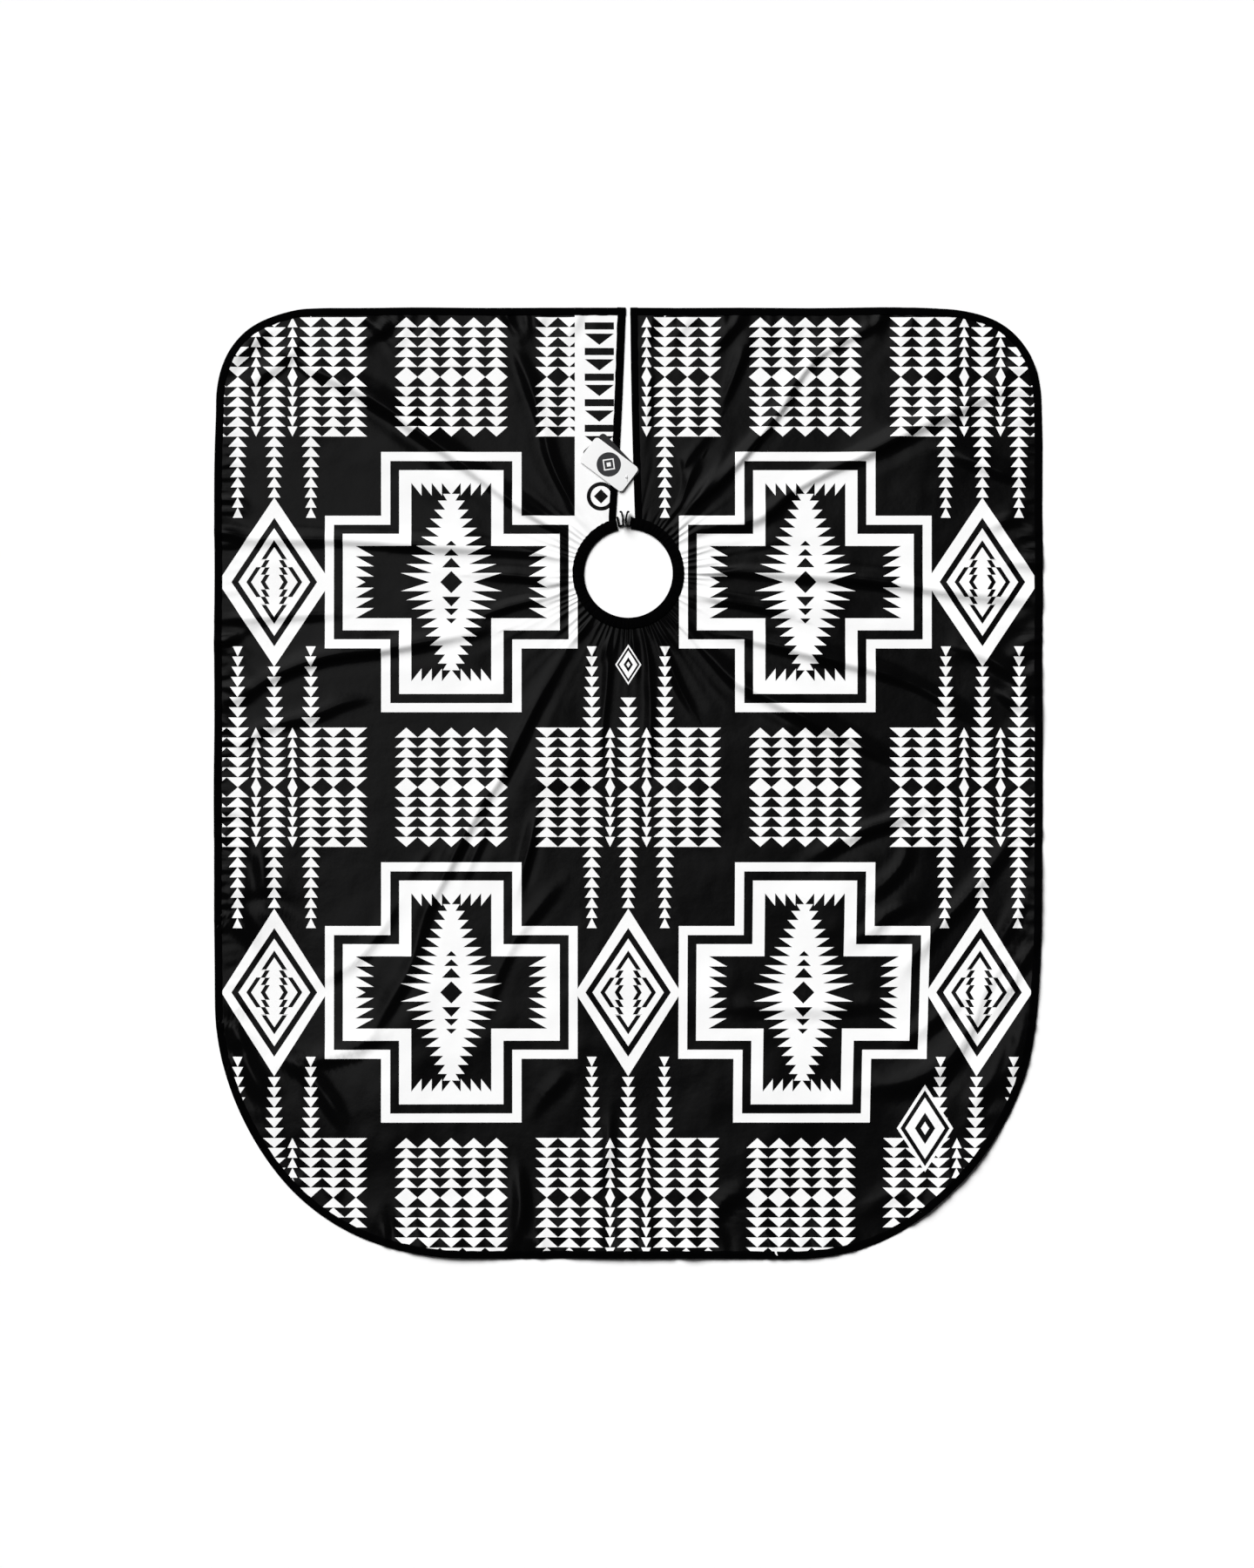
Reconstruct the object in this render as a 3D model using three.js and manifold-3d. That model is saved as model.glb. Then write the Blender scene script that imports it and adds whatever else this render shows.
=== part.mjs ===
// A barber's cutting cape, laid flat: a printed cloth panel with a round neck hole and a back opening,
// tape bindings on every cut edge, a gathered neckband with its elastic, a snap closure and two swing tags.
// Millimetres, +Z up. The origin is the middle of the cape's outline, on the surface that it lies on.
// +Y points to the edge with the back opening, +X to the right as seen from above.
import * as THREE from "three";
import { mergeVertices } from "three/addons/utils/BufferGeometryUtils.js";
import Module from "manifold-3d";

const wasm = await Module();
wasm.setup();

const degrees = Math.PI / 180;

// --- Driving dimensions ---

const clearance = 0.3; // between pieces that touch on the real cape

const capeWidth = 1328;
const capeLength = 1524;
const upperCornerRadius = 148;
const lowerCornerRadius = 410;
const cornerSteps = 28; // straight steps in one rounded corner

const clothThickness = 0.6;
const tapeThickness = 0.5;
const tapeFold = 0.6; // thickness of the tape where it turns round an edge
const hemWidth = 13;
const slitTapeWidth = 14;

const neckCentreY = 336;
const neckInnerRadius = 71;
const neckbandWidth = 18.6;
const neckbandHeight = 5;
const neckbandWall = 0.6;
const neckbandSlope = 7; // width of the outer strip where the casing's top comes down to the cloth
const neckSteps = 96;
const elasticWidth = 8;
const elasticThickness = 1.5;

const closureX = -6.1; // the closure sits a little left of the neck's centre line
const slitGapAtHem = 7;
const slitGapAtNeck = 30;
const slitMiddleAtNeck = -5;
const closureGapInner = 20; // between the neckband's two ends, at its inner edge
const closureGapOuter = 28;

const snapTapeGap = 2.0; // between the inner faces of the two standing tapes
const snapTapeThickness = 2.8;
const snapTapeHeight = 11;
const snapTapeStraight = 9; // the stretch that the snap holds together
const snapTapeFlare = 10.2; // the free stretch past it
const snapTapeSpread = 2.4; // how far that stretch leans out
const snapTapeCurl = 3; // how far its tip turns over
const facingWidth = 3.2; // the facing sewn along each end of the neckband
const facingTop = 19.5; // how far it reaches, from the neckband's inner edge
const facingFoot = 3.4; // where it ends, measured the same way
const facingSeamLeft = 0.8; // the left facing stands a little off its band
const gussetThickness = 2.4; // the narrow fold from the facing's foot to the tape's root
const closureRise = 7.2; // from the neckband's inner edge to the tapes' roots

const snapRadius = 3.8;
const snapFromRoot = 4.8; // along the tape, from its root to the snap's centre
const snapBoreRadius = 2.1;
const snapKnobRadius = 1.6;
const snapPostRadius = 1.0;
const snapPostClearance = 0.3;
const socketThickness = 0.8;
const studFlange = 0.5;
const knobLength = 0.8;
const capRadius = 4.2;
const capThickness = 0.6;
const backRingThickness = 0.5;

const tagLength = 86;
const tagWidth = 48;
const tagThickness = 0.5;
const tagCornerRadius = 6;
const tagHoleRadius = 1.8;
const tagHoleInset = 7; // from the tag's short edge to its hole
const tagPivotX = -2.5;
const tagPivotY = 488.5;
const frontTagAngle = 143 * degrees; // the way each tag points from its hole
const backTagAngle = 134 * degrees;

const pinThreadRadius = 0.35;
const pinBarRadius = 0.45;
const pinBarLength = 10;
const pinFootRadius = 0.3;
const pinFootLength = 9;
const pinHoleRadius = 0.9;
const pinHoleFromTape = 4; // from the slit tape's inner edge to the hole in the cloth
const pinBend = 1.2; // radius of the thread's turns

// --- Sizes that follow from them ---

const capeTop = capeLength / 2;
const tapeOuterHeight = 2 * (tapeThickness + clearance) + clothThickness;
const clothBottom = tapeThickness + clearance;
const clothTop = clothBottom + clothThickness;
const clothInset = tapeFold + clearance;
const neckOuterRadius = neckInnerRadius + neckbandWidth;
const elasticInner = neckInnerRadius + neckbandWall + clearance;
const clothNeckRadius = elasticInner + elasticWidth + clearance;
const snapTapeBottom = neckbandHeight + 0.4;
const snapTapeFace = snapTapeGap / 2;
const neckRimY = neckCentreY + neckInnerRadius;
const snapTapeRootY = neckRimY + closureRise;
const snapY = snapTapeRootY + snapFromRoot;
const snapZ = snapTapeBottom + snapTapeHeight / 2;
const threadZ = tapeOuterHeight + clearance + pinThreadRadius;
const backTagBottom = threadZ + pinThreadRadius + 0.4;
const frontTagBottom = backTagBottom + tagThickness + 0.4;
const pinBarZ = frontTagBottom + tagThickness + clearance + pinBarRadius;

// --- Helpers ---

// A three.js geometry as a solid that can be joined and cut.
function solidFrom(geometry, place = new THREE.Matrix4()) {
  const bare = new THREE.BufferGeometry();
  const flat = geometry.index ? geometry.toNonIndexed() : geometry;
  bare.setAttribute("position", flat.getAttribute("position").clone());
  bare.applyMatrix4(place);
  const merged = mergeVertices(bare, 1e-4);
  return new wasm.Manifold(
    new wasm.Mesh({
      numProp: 3,
      vertProperties: new Float32Array(merged.attributes.position.array),
      triVerts: new Uint32Array(merged.index.array),
    }),
  );
}

function geometryFrom(solid) {
  const mesh = solid.getMesh();
  const geometry = new THREE.BufferGeometry();
  geometry.setAttribute("position", new THREE.BufferAttribute(mesh.vertProperties, 3));
  geometry.setIndex(new THREE.BufferAttribute(mesh.triVerts, 1));
  geometry.computeVertexNormals();
  return geometry;
}

// A flat shape as a plate between two heights.
function plate(shape, bottom, top, curveSegments = cornerSteps) {
  const geometry = new THREE.ExtrudeGeometry(shape, {
    depth: top - bottom,
    bevelEnabled: false,
    curveSegments,
  });
  return solidFrom(geometry, new THREE.Matrix4().makeTranslation(0, 0, bottom));
}

// A ring or disc: its profile, as [radius, distance along the axis] pairs, turned about an axis.
function turned(profile, steps, place) {
  const points = profile.map(([radius, along]) => new THREE.Vector2(radius, along));
  const solid = solidFrom(new THREE.LatheGeometry(points, steps), place);
  return solid.volume() < 0 ? solidFrom(flipped(new THREE.LatheGeometry(points, steps)), place) : solid;
}

// The same geometry with its faces turned round.
function flipped(geometry) {
  const index = geometry.index.array;
  for (let i = 0; i < index.length; i += 3) {
    [index[i + 1], index[i + 2]] = [index[i + 2], index[i + 1]];
  }
  return geometry;
}

const uprightAtNeck = new THREE.Matrix4()
  .makeTranslation(0, neckCentreY, 0)
  .multiply(new THREE.Matrix4().makeRotationX(Math.PI / 2));

// Places a turned piece so that its axis runs along X through the snap's centre.
const alongSnap = new THREE.Matrix4()
  .makeTranslation(closureX, snapY, snapZ)
  .multiply(new THREE.Matrix4().makeRotationZ(-Math.PI / 2));

// --- Outlines ---

// Half the width of the back opening, and its middle, at a height in Y.
function slitAt(y) {
  const share = (capeTop - y) / (capeTop - neckCentreY - neckOuterRadius);
  return {
    middle: slitMiddleAtNeck * share,
    half: (slitGapAtHem + (slitGapAtNeck - slitGapAtHem) * share) / 2,
  };
}

// The cape's outer outline, drawn in by an inset.
function capeOutline(inset) {
  const x = capeWidth / 2;
  const y = capeLength / 2;
  const upper = upperCornerRadius;
  const lower = lowerCornerRadius;
  const shape = new THREE.Shape();
  shape.absarc(-x + upper, y - upper, upper - inset, Math.PI / 2, Math.PI);
  shape.absarc(-x + lower, -y + lower, lower - inset, Math.PI, 1.5 * Math.PI);
  shape.absarc(x - lower, -y + lower, lower - inset, 1.5 * Math.PI, 2 * Math.PI);
  shape.absarc(x - upper, y - upper, upper - inset, 0, Math.PI / 2);
  return shape;
}

// The opening down the back, widened on each side, from past the hem to a height in Y.
function slitShape(widen, bottomY) {
  const above = slitAt(capeTop + 20);
  const below = slitAt(bottomY);
  const shape = new THREE.Shape();
  shape.moveTo(above.middle - above.half - widen, capeTop + 20);
  shape.lineTo(below.middle - below.half - widen, bottomY);
  shape.lineTo(below.middle + below.half + widen, bottomY);
  shape.lineTo(above.middle + above.half + widen, capeTop + 20);
  return shape;
}

function circleShape(x, y, radius) {
  const shape = new THREE.Shape();
  shape.absarc(x, y, radius, 0, 2 * Math.PI);
  return shape;
}

// --- Cloth and bindings ---

function capePanel() {
  const neck = plate(circleShape(0, neckCentreY, clothNeckRadius), -1, 9, neckSteps);
  const opening = plate(slitShape(clothInset, neckCentreY), -1, 9);
  const hole = plate(circleShape(pinHoleX(), tagPivotY, pinHoleRadius), -1, 9, 16);
  return plate(capeOutline(clothInset), clothBottom, clothTop)
    .subtract(neck)
    .subtract(opening)
    .subtract(hole);
}

// The tape folded over the outer edge: a channel that the cloth lies in.
function outerHem() {
  return plate(capeOutline(0), 0, tapeOuterHeight)
    .subtract(plate(capeOutline(hemWidth), -1, tapeOuterHeight + 1))
    .subtract(plate(capeOutline(tapeFold), tapeThickness, tapeOuterHeight - tapeThickness))
    .subtract(plate(slitShape(0, capeTop - hemWidth - 1), -1, tapeOuterHeight + 1));
}

// The tape folded over one edge of the back opening; side is -1 for the left and 1 for the right.
function slitTape(side) {
  const topY = capeTop - hemWidth - clearance;
  const bottomY = neckCentreY + neckInnerRadius;
  const strip = (from, to) => {
    const upper = slitAt(topY);
    const lower = slitAt(bottomY);
    const edge = (place, out) => place.middle + side * (place.half + out);
    const shape = new THREE.Shape();
    const corners = [
      [edge(upper, from), topY],
      [edge(lower, from), bottomY],
      [edge(lower, to), bottomY],
      [edge(upper, to), topY],
    ];
    if (side > 0) corners.reverse();
    corners.forEach(([x, y], i) => (i ? shape.lineTo(x, y) : shape.moveTo(x, y)));
    return shape;
  };
  const neck = circleShape(0, neckCentreY, neckOuterRadius + clearance);
  return plate(strip(0, slitTapeWidth), 0, tapeOuterHeight)
    .subtract(plate(strip(tapeFold, slitTapeWidth + 1), tapeThickness, tapeOuterHeight - tapeThickness))
    .subtract(plate(neck, -1, tapeOuterHeight + 1, neckSteps));
}

// --- Neckband ---

// Half the gap between the neckband's two ends, at a height in Y.
function closureHalfAt(y) {
  const slope = (closureGapOuter - closureGapInner) / 2 / neckbandWidth;
  return closureGapInner / 2 + slope * (y - neckRimY);
}

// The gap between the neckband's two ends, widened on each side.
function closureWedge(widen) {
  const below = neckRimY - 8;
  const above = neckCentreY + neckOuterRadius + 12;
  const halfAt = (y) => closureHalfAt(y) + widen;
  const shape = new THREE.Shape();
  shape.moveTo(closureX - halfAt(below), below);
  shape.lineTo(closureX + halfAt(below), below);
  shape.lineTo(closureX + halfAt(above), above);
  shape.lineTo(closureX - halfAt(above), above);
  return plate(shape, -5, neckbandHeight + 5);
}

// A casing folded round the neck edge. It is open outwards, where the cloth enters,
// and its top slopes down to the cloth there.
function neckbandCasing() {
  const inner = neckInnerRadius;
  const outer = neckOuterRadius;
  const slope = outer - neckbandSlope;
  const wall = neckbandWall;
  const height = neckbandHeight;
  const lip = clothTop + clearance;
  const profile = [
    [outer, 0],
    [outer, clothBottom - clearance],
    [inner + wall, clothBottom - clearance],
    [inner + wall, height - wall],
    [slope, height - wall],
    [outer, lip],
    [outer, lip + wall],
    [slope, height],
    [inner, height],
    [inner, 0],
    [outer, 0],
  ];
  return turned(profile, neckSteps, uprightAtNeck).subtract(closureWedge(0));
}

function neckElastic() {
  const low = (neckbandHeight - elasticThickness) / 2;
  const high = low + elasticThickness;
  const outer = elasticInner + elasticWidth;
  const profile = [
    [outer, low],
    [outer, high],
    [elasticInner, high],
    [elasticInner, low],
    [outer, low],
  ];
  return turned(profile, neckSteps, uprightAtNeck).subtract(closureWedge(1));
}

// The facing along one end of the neckband, with the narrow fold at its foot that carries one snap tape.
function closureGusset(side) {
  const seam = side < 0 ? facingSeamLeft : clearance;
  const top = neckRimY + facingTop;
  const foot = neckRimY + facingFoot;
  const outer = (y) => closureHalfAt(y) - seam;
  const shape = new THREE.Shape();
  const outline = [
    [outer(top), top],
    [outer(foot), foot],
    [snapTapeFace, snapTapeRootY],
    [snapTapeFace, snapTapeRootY + gussetThickness],
    [outer(foot + gussetThickness) - facingWidth, foot + gussetThickness],
    [outer(top) - facingWidth, top],
  ];
  shape.setFromPoints(outline.map(([across, y]) => new THREE.Vector2(closureX + side * across, y)));
  return plate(shape, clearance, neckbandHeight);
}

// --- Snap closure ---

// One standing tape: straight where the snap holds it, leaning out beyond, with its tip turned over.
function snapTape(side) {
  const face = snapTapeFace + snapTapeThickness / 2;
  const straightEnd = snapTapeRootY + snapTapeStraight;
  const tipY = straightEnd + snapTapeFlare;
  const line = new THREE.SplineCurve([
    new THREE.Vector2(face, snapTapeRootY),
    new THREE.Vector2(face, straightEnd),
    new THREE.Vector2(face + snapTapeSpread, tipY),
    new THREE.Vector2(face + snapTapeSpread + snapTapeCurl, tipY + 0.4),
  ]);
  const centre = [new THREE.Vector2(face, snapTapeRootY), ...line.getPoints(24).filter((p) => p.y > straightEnd)];
  const half = snapTapeThickness / 2;
  const left = [];
  const right = [];
  centre.forEach((point, i) => {
    const before = centre[Math.max(i - 1, 0)];
    const after = centre[Math.min(i + 1, centre.length - 1)];
    const along = after.clone().sub(before).normalize();
    const across = i ? new THREE.Vector2(along.y, -along.x) : new THREE.Vector2(1, 0);
    right.push(point.clone().addScaledVector(across, half));
    left.push(point.clone().addScaledVector(across, -half));
  });
  const outline = [...right, ...left.reverse()].map((p) => new THREE.Vector2(closureX + side * p.x, p.y));
  const shape = new THREE.Shape(side > 0 ? outline : outline.reverse());
  const holeRadius = snapPostRadius + snapPostClearance;
  const hole = new THREE.CylinderGeometry(holeRadius, holeRadius, 20, 24);
  return plate(shape, snapTapeBottom, snapTapeBottom + snapTapeHeight).subtract(solidFrom(hole, alongSnap));
}

// The socket half: a ring against the left tape's inner face.
function snapSocket() {
  const from = -snapTapeFace + clearance;
  const to = from + socketThickness;
  const profile = [
    [snapBoreRadius, from],
    [snapRadius, from],
    [snapRadius, to - 0.3],
    [snapRadius - 0.4, to],
    [snapBoreRadius, to],
    [snapBoreRadius, from],
  ];
  return turned(profile, 32, alongSnap);
}

// The stud half: a flange against the right tape's inner face, and the knob that the socket grips.
function snapStud() {
  const back = snapTapeFace - clearance;
  const face = back - studFlange;
  const tip = face - knobLength;
  const profile = [
    [0, back],
    [0, tip],
    [snapKnobRadius - 0.4, tip],
    [snapKnobRadius, tip + 0.35],
    [snapKnobRadius - 0.25, face],
    [snapRadius, face],
    [snapRadius, back],
    [0, back],
  ];
  return turned(profile, 32, alongSnap);
}

// A domed cap on a tape's outer face, with the post that goes through the tape.
function snapCap(side, thickness, dome) {
  const face = snapTapeFace + snapTapeThickness + clearance;
  const postEnd = snapTapeFace;
  const profile = [
    [0, postEnd],
    [snapPostRadius, postEnd],
    [snapPostRadius, face],
    [capRadius, face],
    [capRadius, face + thickness * 0.45],
    [capRadius * 0.8, face + thickness * (dome ? 0.85 : 1)],
    [0, face + thickness],
    [0, postEnd],
  ];
  return turned(profile.map(([radius, along]) => [radius, side * along]), 32, alongSnap);
}

// --- Swing tags ---

// The place of the pin's hole in the cloth, just past the left slit tape.
function pinHoleX() {
  const slit = slitAt(tagPivotY);
  return slit.middle - slit.half - slitTapeWidth - pinHoleFromTape;
}

function swingTag(angle, bottom) {
  const half = tagWidth / 2;
  const near = -tagHoleInset;
  const far = near + tagLength;
  const r = tagCornerRadius;
  const card = new THREE.Shape();
  card.absarc(near + r, -half + r, r, Math.PI, 1.5 * Math.PI);
  card.absarc(far - r, -half + r, r, 1.5 * Math.PI, 2 * Math.PI);
  card.absarc(far - r, half - r, r, 0, Math.PI / 2);
  card.absarc(near + r, half - r, r, Math.PI / 2, Math.PI);
  const hole = new THREE.Path();
  hole.absarc(0, 0, tagHoleRadius, 0, 2 * Math.PI, true);
  card.holes.push(hole);
  const place = new THREE.Matrix4()
    .makeTranslation(tagPivotX, tagPivotY, bottom)
    .multiply(new THREE.Matrix4().makeRotationZ(angle));
  const geometry = new THREE.ExtrudeGeometry(card, {
    depth: tagThickness,
    bevelEnabled: false,
    curveSegments: 10,
  });
  return solidFrom(geometry, place);
}

// The nylon pin: a bar on the front tag, a thread down through both tags and along under them,
// and a foot under the cloth.
function tagPin() {
  const footZ = pinFootRadius + 0.1;
  const holeX = pinHoleX();
  const route = new THREE.CurvePath();
  const point = (x, z) => new THREE.Vector3(x, tagPivotY, z);
  const turn = (corner, from, to) => new THREE.QuadraticBezierCurve3(from, corner, to);
  const down = point(tagPivotX, threadZ + pinBend);
  const under = point(tagPivotX - pinBend, threadZ);
  const before = point(holeX + pinBend, threadZ);
  const into = point(holeX, threadZ - pinBend);
  route.add(new THREE.LineCurve3(point(tagPivotX, pinBarZ), down));
  route.add(turn(point(tagPivotX, threadZ), down, under));
  route.add(new THREE.LineCurve3(under, before));
  route.add(turn(point(holeX, threadZ), before, into));
  route.add(new THREE.LineCurve3(into, point(holeX, footZ)));
  const section = new THREE.Shape();
  section.absarc(0, 0, pinThreadRadius, 0, 2 * Math.PI);
  const thread = new THREE.ExtrudeGeometry(section, { extrudePath: route, steps: 60, curveSegments: 4 });
  const bar = new THREE.CapsuleGeometry(pinBarRadius, pinBarLength - 2 * pinBarRadius, 3, 10);
  const foot = new THREE.CapsuleGeometry(pinFootRadius, pinFootLength - 2 * pinFootRadius, 3, 10);
  const barPlace = new THREE.Matrix4().makeTranslation(tagPivotX, tagPivotY, pinBarZ);
  const footPlace = new THREE.Matrix4().makeTranslation(holeX, tagPivotY, footZ);
  return solidFrom(thread)
    .add(solidFrom(bar, barPlace))
    .add(solidFrom(foot, footPlace));
}

// --- Materials ---

const finish = (colour, roughness, metalness = 0) =>
  new THREE.MeshStandardMaterial({ color: colour, roughness, metalness });
const printedCloth = finish(0x1b1b1b, 0.55);
const blackTape = finish(0x060606, 0.7);
const elasticWeb = finish(0x0d0d0d, 0.8);
const snapPlastic = finish(0x0a0a0a, 0.35);
const whiteCard = finish(0xf2f2f2, 0.6);
const blackCard = finish(0x1d1d1d, 0.6);
const clearNylon = finish(0xe6e6e6, 0.3);

// --- Assembly ---

const cape = new THREE.Group();

function addPiece(name, solid, material) {
  const mesh = new THREE.Mesh(geometryFrom(solid), material);
  mesh.name = name;
  cape.add(mesh);
}

addPiece("cape_panel", capePanel(), printedCloth);
addPiece("outer_hem_binding", outerHem(), blackTape);
addPiece("slit_binding_left", slitTape(-1), blackTape);
addPiece("slit_binding_right", slitTape(1), blackTape);
addPiece("neckband_casing", neckbandCasing(), blackTape);
addPiece("neck_elastic", neckElastic(), elasticWeb);
addPiece("closure_gusset_left", closureGusset(-1), blackTape);
addPiece("closure_gusset_right", closureGusset(1), blackTape);
addPiece("snap_tape_left", snapTape(-1), blackTape);
addPiece("snap_tape_right", snapTape(1), blackTape);
addPiece("snap_socket", snapSocket(), snapPlastic);
addPiece("snap_stud", snapStud(), snapPlastic);
addPiece("snap_cap", snapCap(-1, capThickness, true), snapPlastic);
addPiece("snap_back_ring", snapCap(1, backRingThickness, false), snapPlastic);
addPiece("tag_front_card", swingTag(frontTagAngle, frontTagBottom), whiteCard);
addPiece("tag_back_card", swingTag(backTagAngle, backTagBottom), blackCard);
addPiece("tag_pin", tagPin(), clearNylon);

export default cape;
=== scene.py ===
"""The looks of a salon cutting cape that lies flat on a pale floor.

Everything is in metres, in the frame of the CAD model: +Z up, +Y towards the edge with the back opening.
The cloth is one surface over a polar grid around the neck. Its height is a sum of folds, gathers and
puckers, and the binding tapes and their stitches follow that same sum, so the pieces stay together.
"""

import math

import bpy
import numpy as np
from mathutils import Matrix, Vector


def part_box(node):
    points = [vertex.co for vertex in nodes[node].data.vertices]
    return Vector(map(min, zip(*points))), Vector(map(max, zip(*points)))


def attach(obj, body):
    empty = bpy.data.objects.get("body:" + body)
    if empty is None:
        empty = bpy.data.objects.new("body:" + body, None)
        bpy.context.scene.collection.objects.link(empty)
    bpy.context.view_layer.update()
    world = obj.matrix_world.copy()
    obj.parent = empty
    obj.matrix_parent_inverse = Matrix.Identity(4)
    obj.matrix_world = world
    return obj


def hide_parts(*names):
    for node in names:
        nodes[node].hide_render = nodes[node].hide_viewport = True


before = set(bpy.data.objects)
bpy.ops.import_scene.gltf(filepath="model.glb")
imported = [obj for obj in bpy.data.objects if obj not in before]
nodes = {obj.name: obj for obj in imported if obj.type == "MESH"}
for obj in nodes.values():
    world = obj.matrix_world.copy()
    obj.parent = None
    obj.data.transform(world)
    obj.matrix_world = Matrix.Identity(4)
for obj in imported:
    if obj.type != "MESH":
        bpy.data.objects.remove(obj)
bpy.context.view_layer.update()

MM = 0.001
TAU = 2 * math.pi

# --- Places and sizes taken from the CAD model ---

_, HEM_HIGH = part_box("outer_hem_binding")
BAND_LOW, BAND_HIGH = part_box("neckband_casing")
TAPE_L_LOW, TAPE_L_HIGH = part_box("snap_tape_left")
_, TAPE_R_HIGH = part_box("snap_tape_right")

HALF_WIDTH = HEM_HIGH.x
HALF_LENGTH = HEM_HIGH.y
NECK_OUTER = (BAND_HIGH.x - BAND_LOW.x) / 2
NECK_X = (BAND_HIGH.x + BAND_LOW.x) / 2
NECK_Y = BAND_LOW.y + NECK_OUTER
CLOSURE_X = (TAPE_L_LOW.x + TAPE_R_HIGH.x) / 2
TAPE_ROOT_Y = TAPE_L_LOW.y

# --- Cloth panel ---

UPPER_CORNER = 148 * MM
LOWER_CORNER = 410 * MM
CLOTH_REST = 1.5 * MM  # height of smooth cloth over the floor
CLOTH_FLOOR_EASE = 1.1 * MM  # over how much of its height the cloth eases to the floor
CLOTH_UNDER_BAND = 8 * MM
CLOTH_START = math.pi / 2 + 0.17  # angles about the neck where the panel's inner edge starts and ends
CLOTH_END = math.pi / 2 + TAU - 0.14
CLOTH_IN_TAPE = 3 * MM  # how far inside the tapes' folded edges the cloth stops, along the back opening
CLOTH_IN_HEM = 0.997  # share of the way to the outline at which it stops, inside the hem tape
ROW_SPREAD = 1.15  # above 1, the rows lie closer together at the neck
SLIT_COLUMNS = 14  # over about how many columns the panel is drawn to the opening's edges

# --- Binding tapes and their stitches ---

HEM_WIDTH = 12.5 * MM
HEM_THICKNESS = 2.0 * MM
LEFT_TAPE_WIDTH = 13.3 * MM
RIGHT_TAPE_WIDTH = 11.8 * MM
LEFT_TAPE_TAPER = 0.85  # its width at the neck, as a share of that at the hem
SLIT_TAPE_THICKNESS = 2.1 * MM
TAPE_SWAY = 0.4 * MM
TAPE_PUCKER = 0.16 * MM
FLOOR_CLEARANCE = 0.05 * MM
SLIT_AT_HEM = (-4.0 * MM, 3.0 * MM)  # X of the opening's left and right edge
SLIT_AT_NECK = (-20.0 * MM, 10.5 * MM)
SLIT_BOW = 1.2 * MM
SEAM_INSET = 2.2 * MM  # from a tape's inner edge to its stitches
STITCH_PITCH = 3.2 * MM
STITCH_LENGTH = 2.3 * MM
STITCH_RADIUS = 0.22 * MM
STITCH_SINK = 0.05 * MM

# --- Neckband and closure ---

NECKBAND_WIDTH = 18.6 * MM
NECK_INNER = NECK_OUTER - NECKBAND_WIDTH
BAND_MIDDLE = 1.9 * MM  # height of the band's rounded edges
BAND_CROWN = 2.9 * MM  # height of its crown over them
BAND_RIPPLE = 0.35 * MM
BAND_UNDERSIDE = 0.15 * MM
BAND_SEAM_INSET = 2.6 * MM
BAND_STITCH_LIFT = 0.05 * MM
CLOSURE_INNER = 20 * MM  # the gap between the neckband's ends, at its inner edge
CLOSURE_OUTER = 28 * MM
FACING_WIDTH = 3.2 * MM
FACING_WIDTHS = [FACING_WIDTH, FACING_WIDTH, FACING_WIDTH, 3.0 * MM, 2.4 * MM, 2.4 * MM, 2.4 * MM]
FACING_LOW = 0.3 * MM
FACING_HIGH = 5.0 * MM
SNAP_TAPE_THICKNESS = 2.8 * MM
SNAP_TAPE_FACE = 1.0 * MM  # half the gap between the two standing tapes
SNAP_TAPE_LEAN = 0.5 * MM
TAG_PIVOT = (-2.5 * MM, 488.5 * MM)

# --- How finely the pieces are divided ---

OUTLINE_POINTS = 2400
CLOTH_COLUMNS = 880
CLOTH_ROWS = 111
HEM_STATIONS = 1500
SLIT_STATIONS = 240
BAND_STATIONS = 900
BAND_SEAM_STATIONS = 1400
RIBBON_STATIONS = 90
FOLD_STATIONS = 26
CURVE_STEPS = 13  # on each stretch of a smooth path
TAPE_SIDES = 16
BAND_SIDES = 22
RIBBON_SIDES = 28
STITCH_SIDES = 6


# --- Meshes from grids of points ---


def mesh_object(name, points, faces):
    """Makes a smooth-shaded object from an array of points and a list of faces."""
    mesh = bpy.data.meshes.new(name)
    mesh.from_pydata(points.reshape(-1, 3).tolist(), [], faces)
    mesh.polygons.foreach_set("use_smooth", np.full(len(mesh.polygons), True))
    mesh.update()
    made = bpy.data.objects.new(name, mesh)
    bpy.context.scene.collection.objects.link(made)
    return made


def grid_faces(rows, columns, closed=False):
    """Four-cornered faces of a grid whose point (i, j) has the number i * columns + j.
    Each row may close on itself."""
    i, j = np.meshgrid(np.arange(rows - 1), np.arange(columns if closed else columns - 1), indexing="ij")
    near = i * columns
    far = near + columns
    after = (j + 1) % columns
    return np.stack([near + j, near + after, far + after, far + j], axis=-1).reshape(-1, 4)


def grid_object(name, grid):
    """Makes an open surface from an array of shape (rows, columns, 3)."""
    rows, columns = grid.shape[:2]
    return mesh_object(name, grid, grid_faces(rows, columns).tolist())


def shrunk(ring, share):
    """A ring of points drawn in towards its middle, to a share of its size."""
    middle = ring.mean(axis=1, keepdims=True)
    return middle + (ring - middle) * share


def tube_object(name, grid, flip=False):
    """A closed tube from an array (stations, section points, 3): each section closes on itself,
    and each end is closed by two rings that shrink to the middle of the end section and one small face."""
    head, foot = grid[:1], grid[-1:]
    whole = [shrunk(head, 0.02), shrunk(head, 0.6), grid, shrunk(foot, 0.6), shrunk(foot, 0.02)]
    whole = np.concatenate(whole)
    rows, columns = whole.shape[:2]
    last_ring = (rows - 1) * columns
    faces = grid_faces(rows, columns, closed=True).tolist()
    faces.append(list(range(columns))[::-1])
    faces.append(list(range(last_ring, last_ring + columns)))
    if flip:
        faces = [face[::-1] for face in faces]
    return mesh_object(name, whole, faces)


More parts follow.
